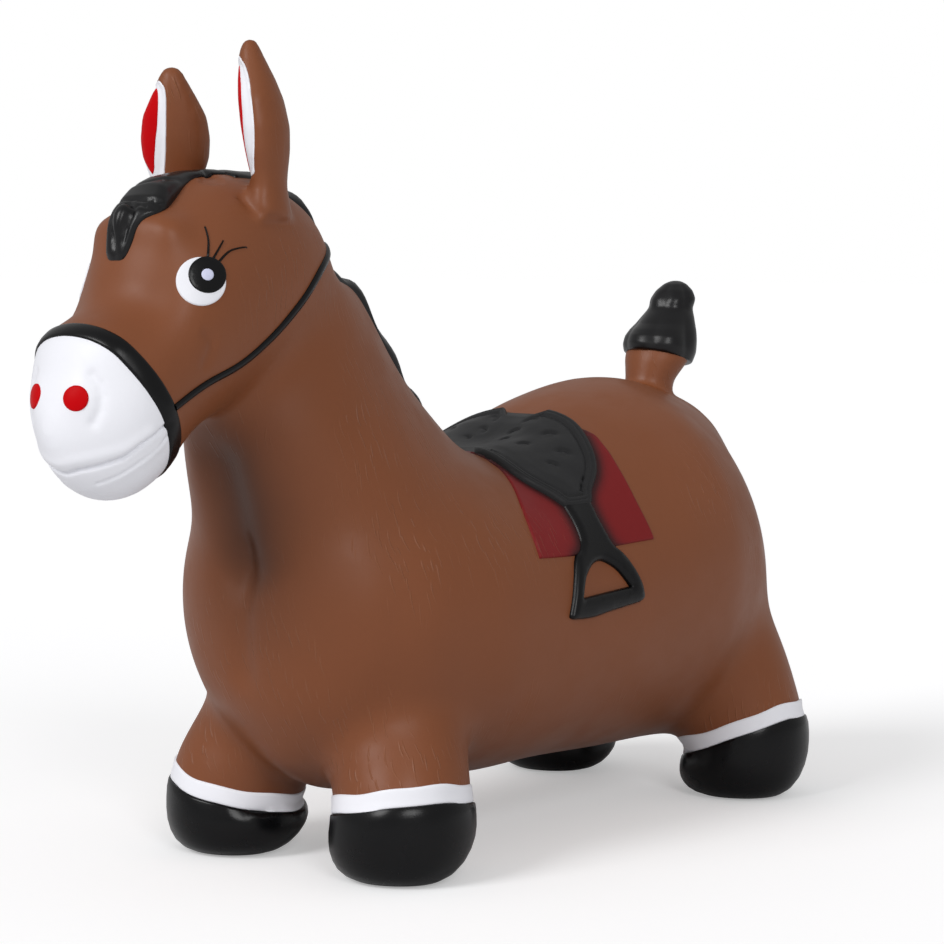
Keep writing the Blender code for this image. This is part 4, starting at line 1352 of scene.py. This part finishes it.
STIRRUP_OUTER_SHARES = (
    (0.423, 0.655),
    (0.410, 0.640),
    (0.398, 0.603),
    (0.386, 0.553),
    (0.379, 0.523),
    (0.385, 0.515),
    (0.423, 0.513),
    (0.454, 0.519),
    (0.488, 0.525),
    (0.522, 0.532),
    (0.531, 0.542),
    (0.529, 0.568),
    (0.522, 0.595),
    (0.512, 0.622),
    (0.502, 0.643),
)
STRAP_RIGHT_SHARES = (
    (0.492, 0.657),
    (0.488, 0.679),
    (0.487, 0.707),
    (0.489, 0.729),
    (0.496, 0.770),
)
STIRRUP_HOLE_SHARES = (
    (0.407, 0.557),
    (0.413, 0.580),
    (0.421, 0.600),
    (0.438, 0.621),
    (0.456, 0.629),
    (0.471, 0.621),
    (0.487, 0.603),
    (0.504, 0.568),
)
RIM_WIDTH = 0.0078
RIM_GROOVE = 0.0010
RIM_GROOVE_DEPTH = 0.0016
SEAM_DEPTH = 0.0006
SEAM_SHARE = 0.52
SADDLE_LIFT = 0.0047
SEAT_SINK = 0.0009
SEAT_SLOPE = 0.012
PUFF_HEIGHT = 0.0006
PUFFS_PER_METRE = 62
DIMPLES = (
    # along the back and down the girth, of the left side, and radius
    (0.0944, 0.0175, 0.0040),
    (0.0811, 0.0165, 0.0034),
    (0.0683, 0.0204, 0.0030),
    (0.0820, 0.0457, 0.0040),
    (0.0723, 0.0680, 0.0042),
    (0.0613, 0.0436, 0.0036),
    (0.0560, 0.0760, 0.0034),
)
DIMPLE_DEPTH = 0.0014
DIMPLE_RIM = 0.0013
BLACK_MIST = 0.0042


def saddle_lift(spots, edges):
    """A double rim round a padded seat with crescent dimples."""
    lift = rounded(SADDLE_LIFT, 0.0032)(spots, edges)
    seat = np.clip((edges - RIM_WIDTH) / SEAT_SLOPE, 0, 1)
    lift -= RIM_GROOVE_DEPTH * np.exp(-(((edges - RIM_WIDTH) / RIM_GROOVE) ** 2))
    lift -= SEAM_DEPTH * np.exp(-(((edges - RIM_WIDTH * SEAM_SHARE) / (0.7 * RIM_GROOVE)) ** 2))
    lift -= SEAT_SINK * (1 - seat) * (edges > RIM_WIDTH)
    down = np.abs(spots[:, 1])
    puffs = [noise_value((y * PUFFS_PER_METRE, side * PUFFS_PER_METRE, 3.0)) for y, side in spots]
    lift += PUFF_HEIGHT * seat * np.array(puffs)
    for along, girth, radius in DIMPLES:
        u, v = spots[:, 0] - along, down - girth
        away = np.hypot(u, v)
        arch = np.clip((0.8 * u - 0.6 * v) / np.maximum(away, 1e-6) + 0.35, 0, 1.35) / 1.35
        lift -= DIMPLE_DEPTH * arch * np.exp(-(((away - radius) / DIMPLE_RIM) ** 2))
        lift -= 0.25 * DIMPLE_DEPTH * np.exp(-((away / (1.3 * radius)) ** 2))
    return lift


saddle_outline = trunk_outline(SADDLE_SHARES, 0.0018)
RIM_ROWS = (0.0005, 0.0011, 0.0020, 0.0031, 0.0041, 0.0052, 0.0066, 0.0078, 0.0090, 0.0104)
saddle = laid_on("saddle_shell", [over_back(saddle_outline)], on_girth, saddle_lift, 0.0013, RIM_ROWS)
dress(saddle, black_saddle)
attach(saddle, "body")
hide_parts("saddle")

# %% Stirrup straps and stirrups on both sides
STRAP_LIFT = 0.0036
STRAP_STEP = 0.0015
iron_ends = STIRRUP_OUTER_SHARES[:1] + STIRRUP_OUTER_SHARES[-1:]
strap_loop = trunk_outline(STRAP_LEFT_SHARES + iron_ends + STRAP_RIGHT_SHARES, STRAP_STEP, (0, 5, 6, 11))
iron_loop = trunk_outline(STIRRUP_OUTER_SHARES, STRAP_STEP, (0, 4, 10, 14))
hole_loop = trunk_outline(STIRRUP_HOLE_SHARES, STRAP_STEP, (0, 7))
both_shares = STRAP_LEFT_SHARES + STIRRUP_OUTER_SHARES + STRAP_RIGHT_SHARES
whole_loop = trunk_outline(both_shares, STRAP_STEP, (0, 9, 15, 24))


def strap_lift(spots, edges):
    """One soft form for strap and stirrup, whichever of the two is laid."""
    from_rim = edge_distance(spots, [whole_loop, hole_loop])
    low = np.where(inside(spots, [whole_loop, hole_loop]), rounded(STRAP_LIFT, 0.0040)(spots, from_rim), 0)
    return np.maximum(low, 0.0003)


for name, side in SIDES.items():
    def on_side(y, girth, side=side):
        return on_girth(y, girth * side)

    strap = laid_on("stirrup_leather_" + name, [strap_loop], on_side, strap_lift, grain=0.0018)
    iron = laid_on("stirrup_iron_" + name, [iron_loop, hole_loop], on_side, strap_lift, grain=0.0018)
    for piece, node in ((strap, "stirrup_strap_" + name), (iron, "stirrup_" + name)):
        dress(piece, black_gloss)
        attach(piece, "body")
        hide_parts(node)

# %% Lay the blanket, with a mist of black spray beside the saddle and the straps
outline = over_back(trunk_outline(BLANKET_SHARES, sharp=(4, 7)))
blanket = laid_on("saddle_cloth", [outline], on_girth, rounded(PAINT_LIFT, 0.0012), grain=0.0026)
mist = blanket.data.attributes.new("mist", "FLOAT", "POINT")
spots = np.array([
    (corner.co.y, abs(GIRTH_RADIUS * math.atan2(corner.co.x, corner.co.z - GIRTH_MIDDLE)))
    for corner in blanket.data.vertices
])
gap = np.minimum(edge_distance(spots, [saddle_outline]), edge_distance(spots, [whole_loop]) * 0.8)
mist.data.foreach_set("value", (0.85 * np.exp(-((gap / BLACK_MIST) ** 2))).astype(np.float32))
dress(blanket, blanket_paint)
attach(blanket, "body")
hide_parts("saddle_blanket")

# %% [markdown]
# ## Eyes and nostrils
#
# They are painted flat on the curved face. Each is a disc laid on it from the side, and
# each next disc lies a hair's breadth above the one before, as coats of paint do.

# %% Paint the eyes and nostrils
PAINT_GRAIN = 0.0016
PAINT_EDGE = 0.0009
EYE_WIDTH = 0.0252
IRIS_WIDTH = 0.0194
CATCHLIGHT_WIDTH = 0.0068
NOSTRIL_WIDTH = 0.0130
LASH_WIDTH = 0.0015
FACE_TURN = (0.68, -0.72, 0.10)
IRIS_PLACE_SHARES = (0.79, 0.1438, 0.8505)
NOSTRIL_PLACE_SHARES = (0.28, 0.029, 0.694)
WHITE_SHIFT_SHARES = (-0.119, -0.131)
LASH_SHARES = (
    ((0.00, 0.36), (0.03, 0.55), (0.02, 0.78), (-0.06, 1.02)),
    ((0.12, 0.34), (0.22, 0.52), (0.33, 0.74)),
    ((0.25, 0.25), (0.37, 0.44), (0.54, 0.56), (0.79, 0.60)),
)


def on_face(place_shares, side):
    """A layer that looks square at one side of the face, about a spot of it."""
    out, along, height = place_shares
    outward = Vector((FACE_TURN[0] * side, FACE_TURN[1], FACE_TURN[2])).normalized()
    across = Vector((0, 0, 1)).cross(outward).normalized() * side
    upward = outward.cross(across) * side
    place = Vector((out * side * HEAD_WIDTH / 2, body_y(along), height * HEAD_HEIGHT))

    def lay(u, v):
        return whole.cast(place + across * u + upward * v + outward * 0.05, -outward)

    return lay


def disc(middle, width, sides=64):
    turns = np.arange(sides) * math.tau / sides
    return np.stack([np.cos(turns), np.sin(turns)], 1) * width / 2 + middle


def lash_outline(points):
    """A thin tapering band along a curved line."""
    line = smooth_loop([np.array(spot) * EYE_WIDTH for spot in points], 0.0006)
    ends = np.linalg.norm(line - np.array(points[-1]) * EYE_WIDTH, axis=1).argmin()
    line = line[: ends + 1]
    run = np.gradient(line, axis=0)
    square = np.stack([-run[:, 1], run[:, 0]], 1) / np.linalg.norm(run, axis=1)[:, None]
    half = LASH_WIDTH / 2 * np.linspace(1, 0.55, len(line))[:, None]
    return np.concatenate([line + square * half, (line - square * half)[::-1]])


def paint_spot(name, loops, lay, lift, material, node=None):
    """A thin coat on the face, that stands in for a node of the frame if one is named."""
    piece = laid_on(name, loops, lay, rounded(lift, PAINT_EDGE), PAINT_GRAIN, (0.0004, PAINT_EDGE))
    dress(piece, material)
    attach(piece, "body")
    if node:
        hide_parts(node)


for name, side in SIDES.items():
    eye = on_face(IRIS_PLACE_SHARES, side)
    shift = np.array(WHITE_SHIFT_SHARES) * EYE_WIDTH
    for title, middle, width, lift, material, slot_name, node in (
        ("eyeball_", shift, EYE_WIDTH, 0.0007, white_paint, "white_paint", "eye_white_"),
        ("iris_", 0, IRIS_WIDTH, 0.0011, black_gloss, "black_skin", "eye_iris_"),
        ("catchlight_", 0, CATCHLIGHT_WIDTH, 0.0014, light_grey, "catchlight_grey", "eye_catchlight_"),
    ):
        paint_spot(title + name, [disc(middle, width)], eye, lift, material, node + name)
    for place, points in enumerate(LASH_SHARES):
        lash = [lash_outline(points)]
        paint_spot("lash_%s_%d" % (name, place), lash, eye, 0.0008, black_gloss)
    nose = on_face(NOSTRIL_PLACE_SHARES, side)
    dot = [disc(0, NOSTRIL_WIDTH)]
    paint_spot("nostril_dot_" + name, dot, nose, 0.0007, red_paint, "nostril_" + name)

# %% [markdown]
# ## Bridle
#
# The noseband and the thin cheek straps are ridges in the mould. Each is a band swept
# along a line on the skin: at every step of the line a low arch is set across it, and
# the arches are bridged.

# %% Sweep a band along a line on the skin
ARCH_SHARES = (
    # across, height. The two ends without a height lie below the skin
    (-0.5, None), (-0.5, 0.2), (-0.44, 0.65), (-0.34, 0.92), (0, 1.0),
    (0.34, 0.92), (0.44, 0.65), (0.5, 0.2), (0.5, None),
)


def swept_band(name, line, widths, lift, closed):
    """A low arched band along points of the skin."""
    work = bmesh.new()
    arches = []
    count = len(line)
    for index, (spot, width) in enumerate(zip(line, widths)):
        ahead = line[(index + 1) % count if closed else min(index + 1, count - 1)]
        behind = line[(index - 1) % count if closed else max(index - 1, 0)]
        run = (ahead - behind).normalized()
        _, normal = whole.nearest(spot)
        side = run.cross(normal).normalized()
        arch = []
        for across, up in ARCH_SHARES:
            edge, out = whole.nearest(spot + side * (across * width))
            arch.append(work.verts.new(edge + out * (-SINK if up is None else up * lift)))
        arches.append(arch)
    pairs = list(zip(arches, arches[1:] + arches[:1]))
    for first, second in pairs if closed else pairs[:-1]:
        for corner in range(len(first)):
            beside = (corner + 1) % len(first)
            work.faces.new((first[corner], first[beside], second[beside], second[corner]))
    if not closed:
        work.faces.new(arches[0])
        work.faces.new(arches[-1][::-1])
    return as_object(work, name)


STRAP_SHARES = (
    # along, height, width
    (0.0985, 0.680, 0.95),
    (0.137, 0.708, 1.02),
    (0.182, 0.733, 1.10),
    (0.217, 0.765, 1.15),
    (0.255, 0.812, 1.18),
    (0.290, 0.856, 1.15),
    (0.326, 0.884, 1.05),
    (0.352, 0.898, 0.90),
)
STRAP_WIDTH = 0.0036
CHEEK_STRAP_LIFT = 0.0016
CHEEK_STRAP_END = 0.012
NOSEBAND_LIFT = 0.0011
NOSEBAND_ARCHES = 160

muzzle_middle = NOSEBAND_PLACE + MUZZLE_AXIS * (NOSEBAND_WIDTH / 2)
ring = []
for step in range(NOSEBAND_ARCHES):
    turn = math.tau * step / NOSEBAND_ARCHES
    outward = Vector((1, 0, 0)) * math.cos(turn) + MUZZLE_UP * math.sin(turn)
    ring.append(whole.cast(muzzle_middle + outward * 0.09, -outward)[0])
widths = [NOSEBAND_WIDTH * 0.86] * len(ring)
noseband = swept_band("noseband_roll", ring, widths, NOSEBAND_LIFT, True)
dress(noseband, black_gloss)
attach(noseband, "body")
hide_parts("noseband")

for name, side in SIDES.items():
    knots = [
        (body_y(along), height * HEAD_HEIGHT, wide * STRAP_WIDTH) for along, height, wide in STRAP_SHARES
    ]
    rows = smooth_loop(knots, 0.0022, (0, len(knots) - 1))
    last = int(np.linalg.norm(rows - np.array(knots[-1]), axis=1).argmin())
    line, widths = [], []
    for y, z, width in rows[: last + 1]:
        met = whole.cast((side * 0.15, y, z), (-side, 0, 0))
        if met and met[0].x * side > CHEEK_STRAP_END:
            line.append(met[0])
            widths.append(width)
    strap = swept_band("cheek_strap_" + name, line, widths, CHEEK_STRAP_LIFT, False)
    dress(strap, black_gloss)
    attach(strap, "body")
    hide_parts("bridle_strap_" + name)
print("noseband and cheek straps:", len(ring), "arches round the muzzle")

# %% [markdown]
# ## Forelock and mane
#
# The hair is a black relief on the head and down the crest of the neck. It is laid on
# from above. Its height is thickest over the brow, grooves part it into locks, and one
# lock ends in a round curl.

# %% Lay the forelock and the mane
FORELOCK_SHARES = (
    # across, along
    (0.13, 0.2340),
    (0.12, 0.2222),
    (0.11, 0.2034),
    (0.11, 0.1886),
    (0.15, 0.1761),
    (0.225, 0.1600),
    (0.275, 0.1480),
    (0.305, 0.1391),
    (0.315, 0.1300),
    (0.300, 0.1235),
    (0.250, 0.1175),
    (0.205, 0.1130),
    (0.150, 0.1075),
    (0.097, 0.1035),
    (0.004, 0.1025),
    (-0.120, 0.1035),
    (-0.180, 0.1080),
    (-0.225, 0.1180),
    (-0.280, 0.1290),
    (-0.310, 0.1430),
    (-0.280, 0.1631),
    (-0.220, 0.1886),
    (-0.180, 0.2100),
    (-0.160, 0.2340),
)
MANE_FRONT = 0.229
MANE_SHARES = (
    # along, half width
    (MANE_FRONT, 1.00),
    (0.290, 0.95),
    (0.340, 1.05),
    (0.400, 0.75),
    (0.450, 0.85),
    (0.500, 0.55),
    (0.540, 0.20),
)
MANE_WIDTH = 0.028
MANE_LOCK = 0.0265


def from_above(u, v):
    return whole.cast((u, v, 2 * HEAD_HEIGHT), DOWN)


FORELOCK_LIFTS = (
    # along, height
    (0.100, 0.0036),
    (0.115, 0.0042),
    (0.124, 0.0046),
    (0.135, 0.0064),
    (0.150, 0.0086),
    (0.165, 0.0080),
    (0.180, 0.0056),
    (0.200, 0.0030),
    (0.234, 0.0024),
)
CURL = (0.0006, 0.1140, 0.0038, 0.0030)
LOCK_GROOVES = (
    # width and depth in mm, then points as across in mm and along the body
    (1.2, 2.0, ((-12, 0.1300), (-2, 0.1285), (7, 0.1295), (14, 0.1335))),
    (0.9, 1.2, ((6.5, 0.1225), (11, 0.1235), (16, 0.1265))),
    (0.8, 0.8, ((4.5, 0.1255), (10, 0.1262), (15, 0.1290))),
    (1.2, 1.9, ((-5, 0.1150), (-4.5, 0.1190), (0, 0.1215), (5.5, 0.1190), (6.5, 0.1140), (4.5, 0.1095))),
    (1.1, 1.6, ((-9, 0.1165), (-6.5, 0.1120), (-2, 0.1085), (0, 0.1030))),
    (1.3, 0.8, ((-14, 0.1500), (-3, 0.1530), (6, 0.1620), (8, 0.1760))),
)


def forelock_lift(spots, edges):
    """Thick over the brow, with a curl, and grooves between its locks."""
    along = spots[:, 1] / BODY_LENGTH + BODY_MIDDLE_SHARE
    shares, lifts = zip(*FORELOCK_LIFTS)
    lift = np.interp(along, shares, lifts) * rounded(1.0, 0.0075)(spots, edges)
    cover = np.clip(edges / 0.0025, 0, 1)
    for width, depth, points in LOCK_GROOVES:
        line = np.array([(across * MILLIMETRE, body_y(place)) for across, place in points])
        near = line_distance(spots, line) / (width * MILLIMETRE)
        lift -= cover * depth * MILLIMETRE * np.exp(-(near**2))
    across, place, radius, rise = CURL
    away = np.hypot(spots[:, 0] - across, spots[:, 1] - body_y(place))
    lift += rise * np.sqrt(np.clip(1 - (away / radius) ** 2, 0, 1))
    return np.maximum(lift, 0.0002)


def mane_lift(spots, edges):
    """Thick locks one behind the other down the crest."""
    wave = 0.5 + 0.5 * np.cos(spots[:, 1] / MANE_LOCK * math.tau + np.sin(spots[:, 0] * 260) * 0.9)
    grown = np.clip((spots[:, 1] - body_y(MANE_FRONT)) / 0.045, 0, 1)
    return rounded(1.0, 0.0060)(spots, edges) * (0.0022 + (0.0004 + 0.0030 * wave) * grown)


points = [(out * HEAD_WIDTH / 2, body_y(along)) for out, along in FORELOCK_SHARES]
outline = smooth_loop(points, 0.0014, (0, len(points) - 1))
forelock = laid_on("forelock_hair", [outline], from_above, forelock_lift, grain=0.0010)
right = [(-wide * MANE_WIDTH / 2, body_y(along) + 0.0003) for along, wide in MANE_SHARES]
mane_loop = [(-u, v) for u, v in right] + right[::-1]
mane = laid_on("mane_hair", [smooth_loop(mane_loop, 0.0022, (0, len(mane_loop) - 1))], from_above, mane_lift)
for piece, node in ((forelock, "forelock"), (mane, "mane")):
    dress(piece, black_hair)
    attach(piece, "body")
    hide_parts(node)

# %% [markdown]
# ## The painted inside of the ears
#
# Each ear is painted white inside with a red leaf in the middle of it. The paint goes
# round nearly half of the ear, too far to be laid on from one direction, so its sheet is
# wound round the middle line of the ear: one measure is the turn, the other the height.

# %% Paint the ears
def on_ear(name):
    """A layer wound round an ear: u is the turn times the half width, v the height."""
    _, broad, facing = ear_frame(name)
    length = EAR_LENGTH[name] - EAR_ROOT_HEIGHT

    def lay(u, v):
        turn = u / (EAR_WIDTH / 2) + EAR_PAINT_TURN[name]
        outward = facing * math.cos(turn) + broad * math.sin(turn)
        return whole.cast(ear_axis(name, v / length) + outward * 0.028, -outward)

    return lay


def ear_leaf(name, half_turns, narrower):
    """The outline of a leaf from its half angle at each height."""
    length = EAR_LENGTH[name] - EAR_ROOT_HEIGHT
    rows = [
        (max(0, math.radians(half) * EAR_WIDTH / 2 - narrower), up * length)
        for up, half in half_turns
        if up >= 0
    ]
    loop = rows + [(-u, v) for u, v in reversed(rows) if u > 0]
    return smooth_loop(loop, 0.0012, [index for index, spot in enumerate(loop) if spot[0] == 0])


for name in SIDES:
    lay = on_ear(name)
    for title, half_turns, narrower, lift, material, slot_name, node in (
        ("ear_white_", EAR_HALF_WHITE, 0.0006, 0.0005, white_paint, "white_paint", "ear_lining_"),
        ("ear_red_", EAR_HALF_RED, 0.0, 0.0009, red_paint, "red_paint", "ear_centre_"),
    ):
        leaf = ear_leaf(name, half_turns, narrower)
        piece = laid_on(title + name, [leaf], lay, rounded(lift, PAINT_EDGE), PAINT_GRAIN)
        dress(piece, material)
        bend(piece, EAR_PLACES[name], BEND_LEANS[name], EAR_BEND)
        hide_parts(node + name)

# %% [markdown]
# ## Tail tuft
#
# The tuft is a bulb of hair in thick locks that twist a little as they rise, pinched
# below its round top. Its lower rim hangs down at the back, over the brown stump.

# %% Model the tuft
TUFT_HEIGHT = 0.0490
TUFT_ROWS = (
    # up, back and half radius in mm, read from the outline of the photograph
    (0.0, 11.0, 21.6),
    (5.8, 12.6, 23.0),
    (12.2, 14.2, 22.5),
    (17.3, 16.6, 21.0),
    (22.4, 19.6, 18.6),
    (27.5, 22.6, 16.4),
    (32.7, 25.6, 15.0),
    (37.8, 27.6, 14.4),
    (42.8, 29.0, 11.9),
    (47.0, 30.0, 7.4),
    (49.0, 30.4, 2.8),
)
TUFT_GRAIN = 0.0010
TUFT_SMOOTHING = 9
TUFT_TILT = 0.30
LOCK_COUNT = 6
LOCK_TURN = math.radians(-32)
LOWER_RIDGES = 0.11
UPPER_RIDGES = 0.12
PINCH = 0.06
foot = TAIL_PLACE + Vector((0, 0, TAIL_ROOT_HEIGHT))
ovals = [
    ((0, foot.y + back * MILLIMETRE, foot.z + up * MILLIMETRE), QUARTER, half * MILLIMETRE, half * MILLIMETRE)
    for up, back, half in TUFT_ROWS
]
tuft = melt(oval_tube("tuft_hair", ovals, 96), TUFT_GRAIN, TUFT_SMOOTHING)
ups, backs, halves = (np.array(column) * MILLIMETRE for column in zip(*TUFT_ROWS))
for corner in tuft.data.vertices:
    height = corner.co.z - foot.z
    up = height / TUFT_HEIGHT
    middle = Vector((0, foot.y + float(np.interp(height, ups, backs)), corner.co.z))
    away = corner.co - middle
    turn = math.atan2(away.y, away.x) - LOCK_TURN
    ridge = math.sqrt(math.cos(LOCK_COUNT / 2 * turn + 1.1 * up) ** 2 + 0.05) - 0.66
    lower = math.sin(math.pi * min(1, max(0, (up + 0.10) / 0.72))) ** 1.2
    upper = math.sin(math.pi * min(1, max(0, (up - 0.60) / 0.44)))
    waist = math.exp(-(((up - 0.64) / 0.07) ** 2))
    radial = LOWER_RIDGES * ridge * lower + UPPER_RIDGES * ridge * upper - PINCH * waist
    corner.co += away * radial
    corner.co.z -= TUFT_TILT * away.y * max(0, 1 - up / 0.45)
pick(tuft)
bpy.ops.object.shade_smooth()
dress(tuft, black_hair)
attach(tuft, "tail")
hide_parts("tail_tuft")

# %% [markdown]
# ## Valve
#
# The valve under the belly is a plain turned part, and the frame's solids have its
# shape already. So they stay and only get a finish.

# %% Give the valve its plastic
for node in ("valve_seat", "valve_plug"):
    item = frame["nodes"][node]
    item.data.materials.clear()
    item.data.materials.append(valve_plastic)

# %% [markdown]
# ## Floor, light and finish
#
# The photograph is a plain studio shot: a white floor that runs into a white wall, soft
# light from above and a weak fill. The floor and the world are brightened to white only
# where the camera sees them, so the light on the horse stays plain.

# %% Lay the floor and light the scene
FLOOR_GLOW = 0.34
WORLD_LIGHT = 0.46


def seen_directly(tree):
    """One on a ray from the camera, straight or through something clear."""
    paths = feed(tree, "LightPath")
    return number(tree, "MAXIMUM", paths.outputs["Is Camera Ray"], paths.outputs["Is Transmission Ray"])


deselect()
bpy.ops.mesh.primitive_plane_add(size=40, location=(0, 0, 0))
floor = bpy.context.object
floor.name = "studio_floor"
floor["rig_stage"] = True
material = bpy.data.materials.new("studio_white")
material.use_nodes = True
tree = material.node_tree
tree.nodes.clear()
seen = seen_directly(tree)
paper = feed(tree, "BsdfDiffuse", Color=(0.80, 0.80, 0.81, 1), Roughness=0.0)
glow = feed(tree, "Emission", Color=(1, 1, 1, 1), Strength=number(tree, "MULTIPLY", seen, FLOOR_GLOW))
both = feed(tree, "AddShader", i0=paper.outputs[0], i1=glow.outputs[0])
out = tree.nodes.new("ShaderNodeOutputMaterial")
tree.links.new(both.outputs[0], out.inputs["Surface"])
floor.data.materials.append(material)

world = bpy.data.worlds.new("studio_world")
bpy.context.scene.world = world
world.use_nodes = True
tree = world.node_tree
tree.nodes.clear()
seen = seen_directly(tree)
strength = number(tree, "ADD", WORLD_LIGHT, number(tree, "MULTIPLY", seen, 1 - WORLD_LIGHT))
sky = feed(tree, "Background", Color=(1, 1, 1, 1), Strength=strength)
out = tree.nodes.new("ShaderNodeOutputWorld")
tree.links.new(sky.outputs[0], out.inputs["Surface"])

LAMPS = {
    # direction towards the lamp, spread in degrees, strength
    "lamp_ahead": ((-0.15, -0.82, 0.58), 26, 1.42),
    "lamp_beside": ((0.72, -0.52, 0.46), 20, 0.78),
}
for name, (direction, spread, energy) in LAMPS.items():
    deselect()
    bpy.ops.object.light_add(type="SUN", location=Vector(direction) * 2)
    lamp = bpy.context.object
    lamp.name = name
    lamp.data.energy = energy
    lamp.data.angle = math.radians(spread)
    lamp.rotation_mode = "QUATERNION"
    lamp.rotation_quaternion = (-Vector(direction)).to_track_quat("-Z", "Y")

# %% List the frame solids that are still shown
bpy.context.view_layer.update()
shown = [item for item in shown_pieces() if "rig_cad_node" in item]
print("frame solids still shown:", [item.name for item in shown])
